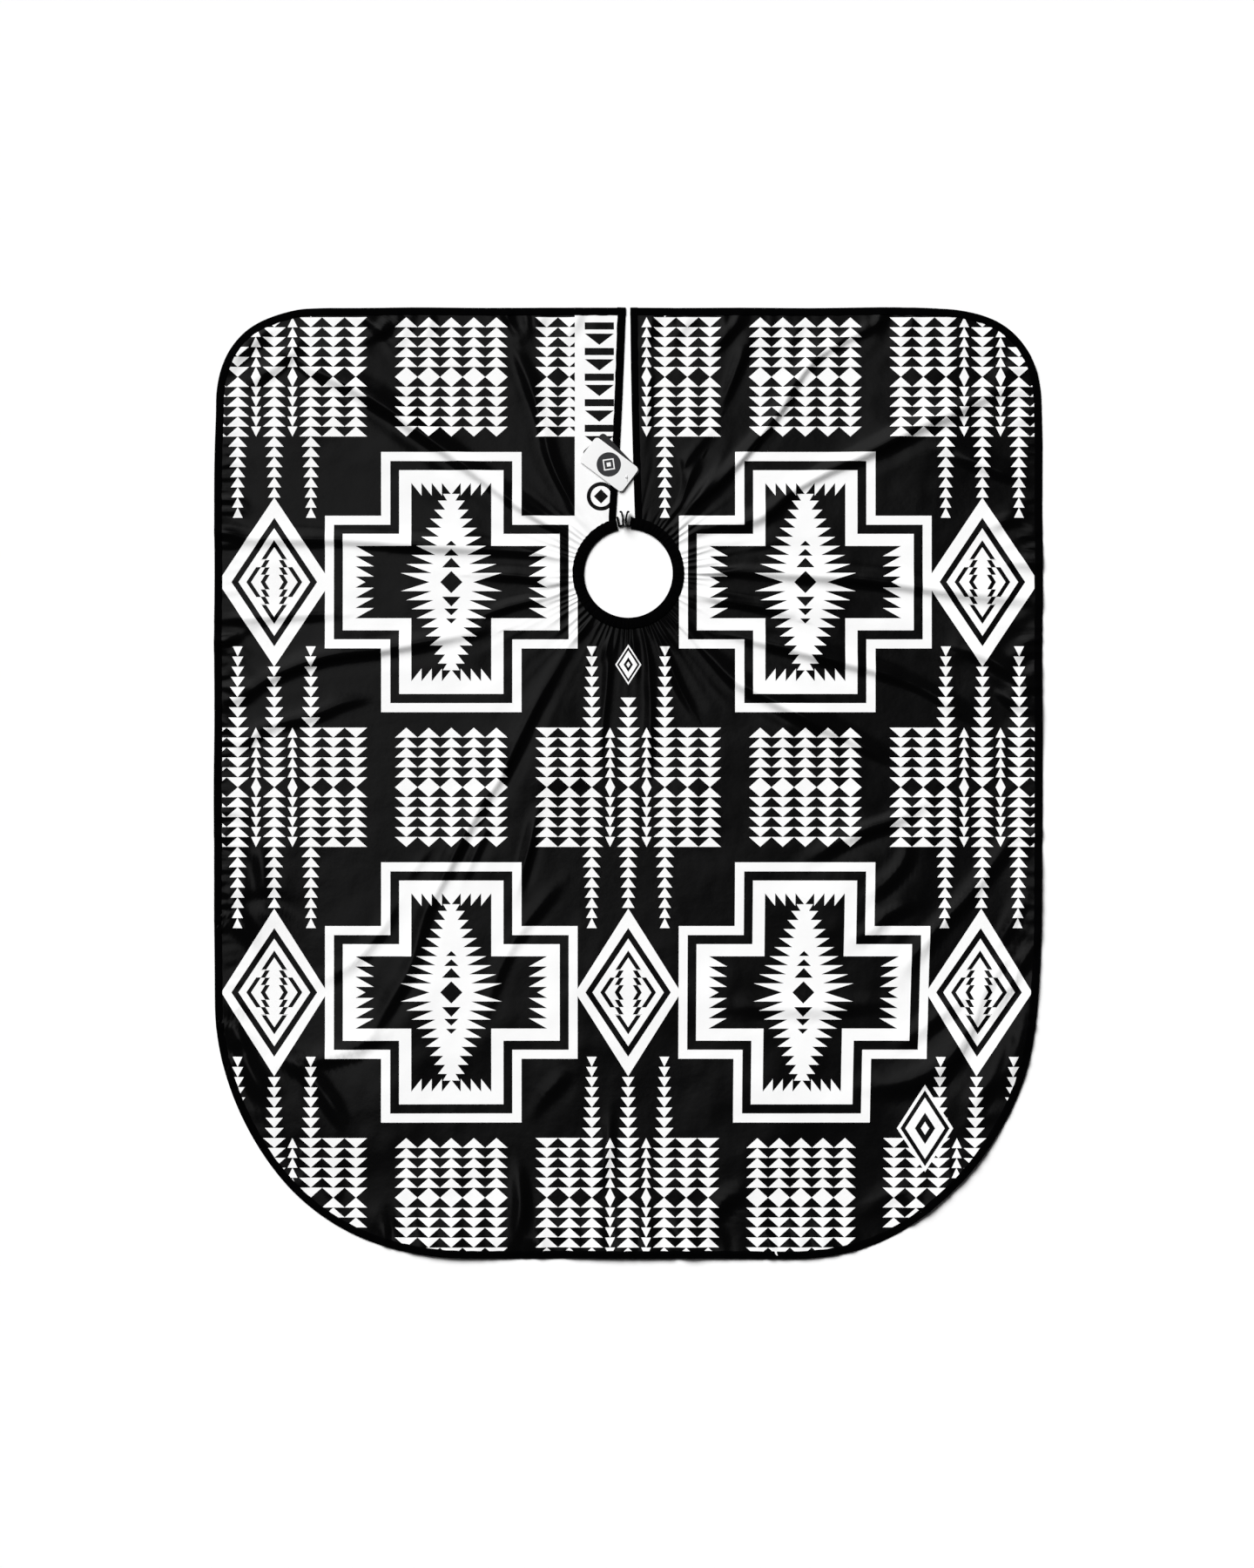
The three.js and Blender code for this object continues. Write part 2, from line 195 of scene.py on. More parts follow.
# --- Curves and waves ---


def distance_along(path):
    """How far along a polyline each of its points lies."""
    steps = np.linalg.norm(np.diff(path, axis=0), axis=1)
    return np.concatenate([[0], np.cumsum(steps)])


def between(wanted, known, values):
    """Each column of an array at the wanted places, on straight lines between its rows' known places."""
    return np.stack([np.interp(wanted, known, column) for column in values.T], axis=-1)


def resample(points, count):
    """Points spaced evenly along a polyline."""
    along = distance_along(points)
    return between(np.linspace(0, along[-1], count), along, points)


def smooth_path(points, count):
    """A Catmull-Rom curve through the points, spaced evenly: a cubic on each stretch, whose slope at a point
    is that between its two neighbours. The two ends are continued straight."""
    p = np.asarray(points, dtype=float)
    p = np.concatenate([[2 * p[0] - p[1]], p, [2 * p[-1] - p[-2]]])
    t = np.linspace(0, 1, CURVE_STEPS)[:, None]
    parts = []
    for a, b, c, d in zip(p[:-3], p[1:-2], p[2:-1], p[3:]):
        square = (2 * a - 5 * b + 4 * c - d) * t**2
        cube = (3 * b - a - 3 * c + d) * t**3
        parts.append(0.5 * (2 * b + (c - a) * t + square + cube))
    return resample(np.concatenate(parts), count)


def left_of(path):
    """The unit direction to the left of the way a path runs, at each of its points."""
    along = np.gradient(path, axis=0)
    along /= np.linalg.norm(along, axis=1, keepdims=True)
    return np.stack([-along[:, 1], along[:, 0]], axis=1)


def about(x, y, radius, turn):
    """Places at a radius and an angle about a centre."""
    return np.stack([x + radius * np.cos(turn), y + radius * np.sin(turn)], axis=-1)


def with_height(xy, z):
    """Points from an array of places in the plane and one of heights."""
    return np.concatenate([xy, z[..., None]], axis=-1)


def round_angles(count):
    """Evenly spaced angles once round a section."""
    return np.linspace(0, TAU, count, endpoint=False)


def fuller(wave, power):
    """A sine or cosine with its sign kept and its size raised to a power, which makes a circle's section
    squarer the smaller the power is."""
    return np.sign(wave) * np.abs(wave) ** power


def bump(distance, width):
    """A bell: 1 at zero distance, falling smoothly to nothing over about twice the width."""
    return np.exp(-((distance / width) ** 2))


def soft_step(value, low, high):
    """Rises smoothly from 0 at low to 1 at high."""
    t = np.clip((value - low) / (high - low), 0, 1)
    return t * t * (3 - 2 * t)


def ripple(x, y, size, seed):
    """Smooth noise between about -1 and 1: a sum of seven waves, each turned by the golden angle from the
    one before, with wavelengths from 0.7 to 1.36 times the size."""
    k = np.arange(7)
    angle = 2.399963 * k + seed
    scale = TAU / (size * (0.7 + 0.11 * k))
    phase = 1.7 * seed * (k + 1)
    along = x[..., None] * np.cos(angle) + y[..., None] * np.sin(angle)
    return np.sin(along * scale + phase).sum(axis=-1) / 3.2


# --- The cape's outline ---

# Places where the hem lies a little further in, or out where the pull is negative:
# a point, the pull and its reach, in millimetres.
PULLS = [
    (-664, 625, 4.0, 70),
    (-560, 755, 5.0, 50),
    (545, 760, 4.0, 50),
    (664, 630, 2.5, 60),
    (600, -550, 11.0, 240),
    (664, -390, 4.0, 90),
    (380, -740, -4.0, 140),
    (-640, -470, 2.0, 120),
    (-480, -700, -6.5, 130),
]


def quarter_circle(x, y, radius, start):
    """Ninety points of a quarter circle about a centre, anticlockwise from a start angle."""
    return about(x, y, radius, start + np.linspace(0, math.pi / 2, 90))


def cape_outline():
    """The outer edge as points, anticlockwise from the left side of the back opening to its right side:
    straight sides joined by quarter circles, drawn in or let out a little at a few places."""
    upper_x = HALF_WIDTH - UPPER_CORNER
    upper_y = HALF_LENGTH - UPPER_CORNER
    lower_x = HALF_WIDTH - LOWER_CORNER
    lower_y = HALF_LENGTH - LOWER_CORNER
    points = resample(np.concatenate([
        [[SLIT_AT_HEM[0], HALF_LENGTH]],
        quarter_circle(-upper_x, upper_y, UPPER_CORNER, math.pi / 2),
        quarter_circle(-lower_x, -lower_y, LOWER_CORNER, math.pi),
        quarter_circle(lower_x, -lower_y, LOWER_CORNER, 1.5 * math.pi),
        quarter_circle(upper_x, upper_y, UPPER_CORNER, 0),
        [[SLIT_AT_HEM[1], HALF_LENGTH]],
    ]), OUTLINE_POINTS)
    x, y = points.T
    inward = -points / np.linalg.norm(points, axis=1, keepdims=True)
    draw = 0.6 * MM * (1 + ripple(x, y, 0.23, 4.0))
    for middle_x, middle_y, pull, reach in PULLS:
        draw += pull * MM * bump(np.hypot(x - middle_x * MM, y - middle_y * MM), reach * MM)
    return points + inward * draw[:, None]


OUTLINE = cape_outline()


# --- The height of the cloth ---

FOLD_LIFT = 1.45
GATHERS = 64
GATHER_HEIGHT = 2.5 * MM
DRAPES = 23
DRAPE_HEIGHT = 1.6 * MM
CREASES = 44
CREASE_SEED = 11
PUCKER_PITCH = 33 * MM
PUCKER_HEIGHT = 1.8 * MM
SLANT_PITCH = 52 * MM
SLANT_HEIGHT = 3.0 * MM
HEM_LIFT = 5.0 * MM
HEM_FALL = 3.2 * MM
TAG_ROOM = 0.9 * MM
OPEN_ROOM = 40 * MM

# Each fold: the line of its shaded flank, with the lit side on the left of the way it runs, then its height
# before the lift and the widths of its lit and shaded flanks, all in millimetres.
FOLDS = [
    # From the left side of the neck to the left hem.
    ([(-710, 388), (-560, 384), (-460, 382), (-360, 376), (-190, 366), (-100, 362)], 5, 17, 10),
    ([(-250, 330), (-190, 326), (-140, 321), (-92, 318)], 4, 14, 9),
    ([(-700, 252), (-640, 258), (-560, 262), (-460, 266)], 3, 11, 7),
    ([(-690, 196), (-640, 224), (-590, 250)], 3.5, 13, 8),
    ([(-670, 112), (-615, 136), (-560, 168), (-480, 196), (-400, 206), (-300, 224),
      (-210, 242)], 5, 18, 9),
    ([(-240, 262), (-180, 280), (-95, 298)], 4, 14, 8),
    ([(-610, 82), (-550, 92), (-500, 103), (-450, 122), (-405, 126)], 3.5, 16, 9),
    ([(-650, 60), (-620, 56), (-590, 75), (-560, 88)], 3, 12, 8),
    # Up and left from the neck.
    ([(-560, 690), (-500, 652), (-450, 630), (-400, 600), (-340, 558), (-285, 518), (-235, 480),
      (-190, 446), (-140, 412), (-90, 384)], 6, 16, 9),
    ([(-190, 700), (-165, 640), (-145, 575), (-128, 515), (-105, 465), (-74, 420)], 4, 13, 7),
    ([(-145, 545), (-120, 490), (-90, 446)], 3, 10, 6),
    ([(-205, 758), (-182, 712)], 3, 10, 7),
    ([(-645, 650), (-600, 700), (-545, 738)], 4, 14, 9),
    ([(-610, 630), (-560, 664), (-515, 704)], 3.5, 12, 8),
    ([(-425, 702), (-395, 718), (-355, 744)], 3, 11, 8),
    ([(-440, 748), (-405, 726), (-378, 694)], 2.5, 10, 8),
    # Up and right from the neck.
    ([(24, 500), (30, 560), (36, 620), (40, 670)], 3, 9, 6),
    ([(66, 424), (130, 462), (175, 505), (212, 548), (245, 590), (285, 655), (330, 695), (385, 722),
      (430, 760)], 6, 14, 8),
    ([(52, 430), (88, 470), (118, 520)], 3.5, 10, 6),
    ([(155, 600), (175, 650), (194, 700)], 3.5, 11, 7),
    ([(140, 690), (165, 718), (188, 750)], 2.5, 10, 7),
    ([(82, 396), (150, 404), (195, 412), (235, 432), (270, 464), (320, 492), (365, 513), (410, 534),
      (470, 566), (525, 588), (574, 612), (630, 640), (680, 664)], 5.5, 16, 10),
    ([(515, 524), (560, 505), (610, 484), (655, 464)], 4, 14, 9),
    # From the right side of the neck to the right hem.
    ([(90, 338), (160, 332), (240, 328), (320, 324), (380, 318), (440, 310), (500, 302), (575, 294),
      (640, 284), (700, 276)], 5.5, 16, 10),
    ([(590, 354), (640, 346), (690, 344)], 2.5, 12, 8),
    ([(90, 292), (150, 284), (210, 276), (270, 260)], 5, 14, 9),
    ([(575, 402), (615, 414), (658, 410)], 3.5, 14, 9),
    ([(100, 246), (190, 224), (260, 208), (330, 190), (400, 172), (460, 148), (510, 120),
      (560, 86)], 5, 14, 9),
    ([(75, 250), (125, 200), (165, 160), (205, 138), (250, 115), (300, 88), (350, 66),
      (430, 20)], 4.6, 15, 9),
    ([(530, 212), (580, 190), (645, 146)], 4, 12, 8),
    ([(585, 146), (620, 122), (655, 108)], 3, 11, 7),
    # Down from the neck.
    ([(-425, -430), (-370, -345), (-340, -290), (-320, -215), (-288, -150), (-262, -95), (-232, -40),
      (-195, 15), (-160, 90), (-125, 155), (-92, 205), (-56, 250)], 3.6, 14, 8),
    ([(-262, -160), (-242, -115), (-218, -60)], 1.5, 9, 6),
    ([(-350, -156), (-318, -116)], 1.5, 9, 7),
    ([(-220, -360), (-195, -290), (-170, -245), (-140, -205), (-100, -160)], 2.2, 12, 7),
    ([(-172, -170), (-155, -110), (-142, -50)], 3.5, 10, 6),
    ([(-40, 60), (-30, 150), (-26, 238)], 2.5, 8, 6),
    ([(36, 20), (41, 110), (36, 180), (26, 240)], 3.5, 9, 6),
    ([(110, 110), (80, 170), (56, 236)], 2.5, 9, 7),
    # Across the right side, lower down.
    ([(290, -130), (340, -100), (385, -80), (440, -60), (490, -30)], 5, 13, 8),
    ([(390, -185), (420, -160), (445, -130), (456, -100)], 4, 10, 7),
    ([(360, -262), (395, -240), (420, -215), (462, -196)], 4, 10, 7),
    ([(440, -315), (480, -262), (515, -222), (550, -185), (585, -140), (620, -90)], 6, 13, 8),
    ([(490, -500), (538, -426), (574, -342), (614, -276), (645, -225)], 5, 11, 7),
    ([(575, -390), (628, -303), (665, -240)], 5, 11, 7),
    ([(590, -280), (612, -238), (640, -190)], 4, 10, 7),
    ([(165, -366), (230, -366), (300, -370), (410, -360)], 4, 16, 8),
    ([(430, -432), (480, -395), (520, -365), (565, -335)], 4, 13, 8),
    ([(390, -494), (440, -490), (485, -472), (520, -440), (548, -400)], 5, 20, 12),
    ([(555, -530), (590, -470), (614, -415)], 4, 14, 10),
    ([(598, -505), (625, -440), (642, -380)], 4, 11, 8),
    ([(365, -704), (410, -672), (455, -652)], 3, 12, 9),
    # Across the left side, lower down.
    ([(-654, -165), (-630, -215), (-612, -255), (-594, -305)], 4, 14, 8),
    ([(-620, -198), (-580, -194), (-550, -205), (-505, -232)], -3, 12, 9),
    ([(-596, -100), (-590, -185)], 2.5, 12, 8),
    ([(-530, -330), (-475, -314), (-430, -285), (-390, -238), (-365, -195)], 2.6, 12, 8),
    ([(-646, -350), (-630, -420), (-605, -480), (-575, -525)], 4.5, 14, 9),
    ([(-565, -436), (-520, -470), (-490, -505), (-455, -558)], 4, 10, 8),
    ([(-550, -456), (-490, -448), (-440, -432), (-390, -408)], 3.5, 12, 8),
    ([(-155, -540), (-125, -500), (-88, -466)], 2.2, 10, 8),
    ([(-176, -740), (-165, -680), (-172, -610)], 3.5, 10, 8),
    ([(-44, -650), (-28, -590), (-24, -530)], 2.5, 9, 7),
    ([(130, -704), (165, -670), (192, -660)], 3.5, 12, 8),
]

# Each broad wave of the cloth: its height, its wavelength and its seed.
UNDULATIONS = ((2.2 * MM, 0.33, 1.0), (0.8 * MM, 0.12, 2.0), (0.2 * MM, 0.045, 3.0))


def nearest_on_line(x, y, line):
    """For each point: its distance to a polyline, 1 on its left or -1 on its right, and how far along it
    the nearest place is, from 0 to 1."""
    best = np.full(x.shape, np.inf)
    side = np.zeros(x.shape)
    place = np.zeros(x.shape)
    count = len(line) - 1
    for k in range(count):
        a = line[k]
        d = line[k + 1] - a
        t = np.clip(((x - a[0]) * d[0] + (y - a[1]) * d[1]) / (d @ d), 0, 1)
        dx = x - a[0] - t * d[0]
        dy = y - a[1] - t * d[1]
        distance = np.hypot(dx, dy)
        nearer = distance < best
        best = np.where(nearer, distance, best)
        side = np.where(nearer, np.sign(d[0] * dy - d[1] * dx), side)
        place = np.where(nearer, (k + t) / count, place)
    return best, side, place


def fold_height(x, y, path, height, lit, shaded):
    """One fold: a ridge beside a smooth path, a bell with its own width on each flank, with a slight valley
    past the shaded one. It fades in and out at its two ends."""
    line = smooth_path(np.array(path) * MM, FOLD_STATIONS)
    lit, shaded = lit * MM, shaded * MM
    reach = 3 * max(lit, shaded)
    low, high = line.min(axis=0) - reach, line.max(axis=0) + reach
    close = (x > low[0]) & (x < high[0]) & (y > low[1]) & (y < high[1])
    whole = np.zeros(x.shape)
    if close.any():
        distance, side, place = nearest_on_line(x[close], y[close], line)
        fade = np.sin(math.pi * np.clip(place, 0.02, 0.98)) ** 0.6
        from_crest = side * distance - 0.75 * shaded
        width = np.where(from_crest > 0, lit, shaded)
        valley = 0.3 * bump(from_crest + 2.2 * shaded, 1.2 * shaded)
        whole[close] = height * MM * fade * (bump(from_crest, width) - valley)
    return whole


def radial_creases(radius, angle, out):
    """Creases that run out from the neckband: each keeps near one angle, bends a little as it goes,
    widens with distance and dies away at its own length. They are drawn from a seeded generator."""
    draw = np.random.default_rng(CREASE_SEED)
    starts = (np.arange(CREASES) + draw.uniform(-0.35, 0.35, CREASES)) * TAU / CREASES
    bends = draw.uniform(-0.9, 0.9, CREASES)
    lengths = draw.uniform(0.05, 0.13, CREASES) * np.where(draw.random(CREASES) < 0.2, 2.0, 1.0)
    heights = draw.uniform(1.3, 3.8, CREASES) * MM
    sides = np.where(draw.random(CREASES) < 0.5, -1.0, 1.0)
    high = np.zeros(radius.shape)
    for start, bend, length, height, side in zip(starts, bends, lengths, heights, sides):
        off = (angle - start - bend * out + math.pi) % TAU - math.pi
        across = off * radius * side
        width = np.where(across > 0, 4.0, 8.0) * MM + 0.022 * out
        along = soft_step(out, 0.0, 0.025) * (1 - soft_step(out, 0.45 * length, length))
        groove = 0.4 * bump(across - 2.4 * width, 1.2 * width) * (across > 0)
        high += height * along * (bump(across, width) - groove)
    return high


def gather_wave(angle):
    """The wave of the gathers round the neck, crowded and spread by two slower waves."""
    return np.sin(GATHERS * angle + 2.2 * np.sin(7 * angle) + 1.3 * np.sin(17 * angle + 2))


def neck_gathers(angle, out):
    """Short gathers that start at the neckband and die away within a reach that varies round the neck,
    and longer drapes of uneven height."""
    reach = 0.036 + 0.014 * np.sin(5 * angle + 1) + 0.010 * np.sin(11 * angle)
    gathers = gather_wave(angle) * np.exp(-out / reach) * soft_step(out, -0.004, 0.004)
    drape = np.sin(DRAPES * angle + 1.8 * np.sin(5 * angle + 0.5)) * (0.6 + 0.4 * np.sin(9 * angle))
    return GATHER_HEIGHT * gathers + DRAPE_HEIGHT * drape * np.exp(-out / 0.12) * soft_step(out, 0, 0.02)


def edge_distance(x, y):
    """Roughly how far a point lies inside the outer edge: the distance to a rounded rectangle."""
    dx = HALF_WIDTH - np.abs(x)
    dy = HALF_LENGTH - np.abs(y)
    corner = np.where(y > 0, UPPER_CORNER, LOWER_CORNER)
    inside = corner - np.hypot(np.maximum(corner - dx, 0), np.maximum(corner - dy, 0))
    return np.where((dx < corner) & (dy < corner), inside, np.minimum(dx, dy))


def hem_puckers(x, y, edge):
    """Puckers that cross the hem about once every pitch, all along it but stronger in patches, and
    slanting creases a little further in, within the patches only."""
    run = np.where(np.abs(x) > HALF_WIDTH - UPPER_CORNER, y, x)
    patch = soft_step(ripple(x, y, 0.17, 6.0), -0.5, 0.8)
    pucker = np.sin(TAU * run / PUCKER_PITCH + 2.5 * np.sin(run * 31) + 1.2 * np.sin(run * 83))
    slant = np.sin(TAU * (run + 0.5 * edge) / SLANT_PITCH + 2.0 * np.sin(run * 19))
    high = PUCKER_HEIGHT * pucker * bump(edge - 0.016, 0.018) * (0.35 + patch)
    return high + SLANT_HEIGHT * slant * bump(edge - 0.030, 0.032) * patch


def lower_hem(x, y, edge):
    """The hem's lift towards the lower right, and the fall to the hem along the rest of the lower edge."""
    lean = soft_step(0.75 * x - y, -0.30, 0.75)
    lift = lean * bump(edge, 0.045) * (0.8 + 0.4 * ripple(x, y, 0.20, 8.0))
    fall = (1 - 0.8 * lean) * soft_step(-y, 0.22, 0.50) * soft_step(edge, 0.008, 0.046)
    return HEM_LIFT * lift + HEM_FALL * fall


def calm_share(x, y, out):
    """The share of the height that is kept: less at the closure, along the back opening and by the band."""
    closure = 1 - 0.75 * bump(np.hypot(x + 0.03, y - 0.51), 0.11)
    opening = 1 - 0.8 * bump(x + 0.005, 0.03) * soft_step(y, NECK_Y, NECK_Y + 0.08)
    return closure * opening * (0.55 + 0.45 * soft_step(out, 0, 0.05))


def tag_room(x, y):
    """How far the cloth may rise over its rest: very little within the reach of the tags, which swing
    3.6 mm over the floor, and freely beyond it."""
    from_pivot = np.hypot(x - TAG_PIVOT[0], y - TAG_PIVOT[1])
    return TAG_ROOM + OPEN_ROOM * soft_step(from_pivot, 0.086, 0.135)


def cloth_height(x, y):
    """Height of the cloth over the floor: its rest height, plus the folds, the gathers, drapes and creases
    round the neckband, a broad undulation, the puckers along the hem and the shape of the lower hem.
    The sum is limited by the tags' room from above and eased to the floor from below."""
    radius = np.hypot(x - NECK_X, y - NECK_Y)
    angle = np.arctan2(y - NECK_Y, x - NECK_X)
    out = np.maximum(radius - NECK_OUTER, 0)
    edge = edge_distance(x, y)
    high = neck_gathers(angle, out) + radial_creases(radius, angle, out)
    high += hem_puckers(x, y, edge) + lower_hem(x, y, edge)
    for path, height, lit, shaded in FOLDS:
        high += FOLD_LIFT * fold_height(x, y, path, height, lit, shaded)
    for height, size, seed in UNDULATIONS:
        high += height * ripple(x, y, size, seed)
    high = high * calm_share(x, y, out)
    room = tag_room(x, y)
    high = np.where(high > 0, room * np.tanh(high / room), high)
    ease = CLOTH_FLOOR_EASE
    return CLOTH_REST + ease * np.logaddexp(0, high / ease) - ease * math.log(2)


# --- Cloth panel ---


def slit_edge_x(y, side):
    """Where the left (0) or right (1) edge of the back opening lies at a Y: a straight line with a bow."""
    top, low = SLIT_AT_HEM[side], SLIT_AT_NECK[side]
    share = (HALF_LENGTH - y) / (HALF_LENGTH - NECK_Y - NECK_OUTER)
    bow = -SLIT_BOW if side else SLIT_BOW
    return top + (low - top) * share + bow * np.sin(math.pi * share)


def cape_cloth():
    """The panel as a polar grid: each column runs from under the neckband to just short of the outline,
    inside the hem tape. A mix of equal angles and equal lengths spreads the columns along the outline,
    and the first and last are the two edges of the back opening."""
    angle = np.unwrap(np.arctan2(OUTLINE[:, 1] - NECK_Y, OUTLINE[:, 0] - NECK_X))
    by_angle = (angle - angle[0]) / (angle[-1] - angle[0])
    by_length = np.linspace(0, 1, OUTLINE_POINTS)
    place = 0.5 * by_angle + 0.5 * by_length
    wanted = np.linspace(0, 1, CLOTH_COLUMNS)
    outer = between(wanted, place, OUTLINE)
    start = np.interp(wanted, place, angle)
    turn = CLOTH_START + (CLOTH_END - CLOTH_START) * (start - start[0]) / (start[-1] - start[0])
    inner = about(NECK_X, NECK_Y, NECK_OUTER - CLOTH_UNDER_BAND, turn)
    share = CLOTH_IN_HEM * np.linspace(0, 1, CLOTH_ROWS)[:, None, None] ** ROW_SPREAD
    flat = inner[None] * (1 - share) + outer[None] * share
    columns = np.arange(CLOTH_COLUMNS)
    for side, column, tuck in ((0, 0, -CLOTH_IN_TAPE), (1, CLOTH_COLUMNS - 1, CLOTH_IN_TAPE)):
        shift = slit_edge_x(flat[:, column, 1], side) + tuck - flat[:, column, 0]
        flat[:, :, 0] += shift[:, None] * np.exp(-np.abs(columns - column) / SLIT_COLUMNS)
    return grid_object("cape_cloth", with_height(flat, cloth_height(flat[..., 0], flat[..., 1])))


# --- Tapes folded over the edges ---


def folded_section(width, thickness):
    """A folded tape's section as (inward distance, height) pairs: a flat oval with full shoulders."""
    t = round_angles(TAPE_SIDES)
    across = width / 2 * (1 - fuller(np.cos(t), 0.55))
    return np.stack([across, thickness / 2 * fuller(np.sin(t), 0.75)], axis=1)


def tape_along(name, path, inward, width, thickness, seed, taper, flip):
    """A folded tape: its flat oval section carried along a path, each point at the cloth's own height.
    Its width sways a little and changes along the way to its share taper at the end."""
    section = folded_section(width, thickness)
    along = distance_along(path)
    sway = TAPE_SWAY * np.sin(along * 210 + seed) * np.sin(along * 37 + seed)
    stretch = (1 + sway / width) * (1 + (taper - 1) * along / along[-1])
    xy = path[:, None] + inward[:, None] * (section[None, :, :1] * stretch[:, None, None])
    z = cloth_height(xy[..., 0], xy[..., 1]) + section[None, :, 1]
    pucker = TAPE_PUCKER * np.sin(along * 900 + 3 * np.sin(along * 120))
    z = np.maximum(z + pucker[:, None] * (section[None, :, 1] > 0), FLOOR_CLEARANCE)
    return tube_object(name, with_height(xy, z), flip)


def stitch_row(name, path, inward, offset, lift, over=cloth_height):
    """A row of stitches: each is a short six-sided thread, thin at its two ends, laid along the path
    on the surface whose height the function over gives."""
    along = distance_along(path)
    count = int(along[-1] / STITCH_PITCH)
    middle = (np.arange(count) + 0.5) * STITCH_PITCH
    stations = np.array([-0.5, -0.3, 0.3, 0.5])
    sizes = np.array([0.25, 1.0, 1.0, 0.25])
    dips = np.array([-0.35, 0.0, 0.0, -0.35]) * MM
    at = middle[:, None] + stations[None] * STITCH_LENGTH
    centre = between(at, along, path + inward * offset)
    side = between(at, along, inward)
    z = over(centre[..., 0], centre[..., 1]) + lift + dips[None]
    ring = round_angles(STITCH_SIDES)
    radius = STITCH_RADIUS * sizes[None, :, None]
    xy = centre[:, :, None] + side[:, :, None] * (radius * np.cos(ring))[..., None]
    points = with_height(xy, z[..., None] + radius * np.sin(ring))
    each = len(stations) * STITCH_SIDES
    starts = each * np.arange(count)[:, None, None]
    faces = (grid_faces(len(stations), STITCH_SIDES, closed=True)[None] + starts).reshape(-1, 4).tolist()
    for start in range(0, count * each, each):
        faces.append(list(range(start, start + STITCH_SIDES))[::-1])
        faces.append(list(range(start + each - STITCH_SIDES, start + each)))
    return mesh_object(name, points, faces)


def hem_path():
    """The hem's outer edge, with the inward direction at each point."""
    path = resample(OUTLINE, HEM_STATIONS)
    return path, left_of(path)


def slit_path(side):
    """One edge of the back opening, from the hem down to the neckband, with its inward direction."""
    y = np.linspace(HALF_LENGTH - 0.3 * MM, NECK_Y + NECK_OUTER - 14 * MM, SLIT_STATIONS)
    path = np.stack([slit_edge_x(y, side), y], axis=1)
    return path, left_of(path) * (1 if side else -1)


# --- Neckband ---


def band_top(across, turn):
    """Height of the band's upper skin at a share across it (-1 at the neck, 1 at the cloth) and an angle:
    a flattened oval, lower towards the cloth, that ripples with the gathers."""
    fine = np.sin(149 * turn + 2 * np.sin(13 * turn))
    rise = np.sqrt(np.clip(1 - np.abs(across) ** (2 / 0.6), 0, 1)) ** 0.7
    top = BAND_CROWN + BAND_RIPPLE * gather_wave(turn) + 0.15 * MM * fine
    return BAND_MIDDLE + rise * top * (1 - 0.28 * np.maximum(across, 0))


def band_top_at(x, y):
    """The same height at a place in the plane."""
    radius = np.hypot(x - NECK_X, y - NECK_Y)
    across = (radius - NECK_INNER) / (NECKBAND_WIDTH / 2) - 1
    return band_top(across, np.arctan2(y - NECK_Y, x - NECK_X))


def band_ends(reach):
    """The angles where the band starts and ends, at a distance outwards from its inner edge:
    its two ends follow the slanted sides of the closure."""
    gap = (CLOSURE_INNER + (CLOSURE_OUTER - CLOSURE_INNER) * reach / NECKBAND_WIDTH) / 2
    low_turn = math.pi / 2 + np.arcsin((gap - CLOSURE_X + NECK_X) / (NECK_INNER + reach))
    high_turn = math.pi / 2 + TAU - np.arcsin((gap + CLOSURE_X - NECK_X) / (NECK_INNER + reach))
    return low_turn, high_turn


def neckband():
    """The gathered band: a flat-bottomed oval section turned about the neck, with a rippled outer edge."""
    t = round_angles(BAND_SIDES)[None]
    across = fuller(np.cos(t), 0.6)
    reach = NECKBAND_WIDTH / 2 * (1 + across)
    low_turn, high_turn = band_ends(reach)
    turn = low_turn + (high_turn - low_turn) * np.linspace(0, 1, BAND_STATIONS)[:, None]
    radius = NECK_INNER + reach + BAND_RIPPLE * gather_wave(turn) * np.maximum(across, 0)
    sink = np.clip(-np.sin(t), 0, 1) ** 0.7
    bottom = BAND_MIDDLE - sink * (BAND_MIDDLE - BAND_UNDERSIDE)
    z = np.where(np.sin(t) > 0, band_top(across, turn), bottom)
    return tube_object("neckband", with_height(about(NECK_X, NECK_Y, radius, turn), z), flip=True)


def band_seam():
    """A circle a little inside the band's outer edge, with its inward direction."""
    reach = NECKBAND_WIDTH - BAND_SEAM_INSET
    low_turn, high_turn = band_ends(np.array([reach]))
    turn = np.linspace(low_turn[0] + 0.02, high_turn[0] - 0.02, BAND_SEAM_STATIONS)
    return about(NECK_X, NECK_Y, NECK_INNER + reach, turn), -about(0, 0, 1, turn)


# --- Snap closure ---


def standing_ribbon(name, points, widths, low, high, lean=0.0, flip=False):
    """Woven tape that stands on edge: a tall soft-cornered oval section carried along a smooth path.
    Its width may change along the way, its upper edge waves a little and leans sideways."""
    path = smooth_path(points, RIBBON_STATIONS)
    side = left_of(path)
    share = np.linspace(0, 1, len(path))
    width = np.interp(share, np.linspace(0, 1, len(widths)), widths)
    t = round_angles(RIBBON_SIDES)
    across = fuller(np.cos(t), 0.35) / 2
    up = fuller(np.sin(t), 0.22)
    wave = 0.12 * MM * (1 + np.sin(9 * share))
    z = (low + high) / 2 + (high - low) / 2 * up[None] - wave[:, None] * (up > 0)
    shift = width[:, None] * across[None] + lean * share[:, None] * (up[None] + 1) / 2
    xy = path[:, None] + side[:, None] * shift[..., None]
    return tube_object(name, with_height(xy, z), flip)


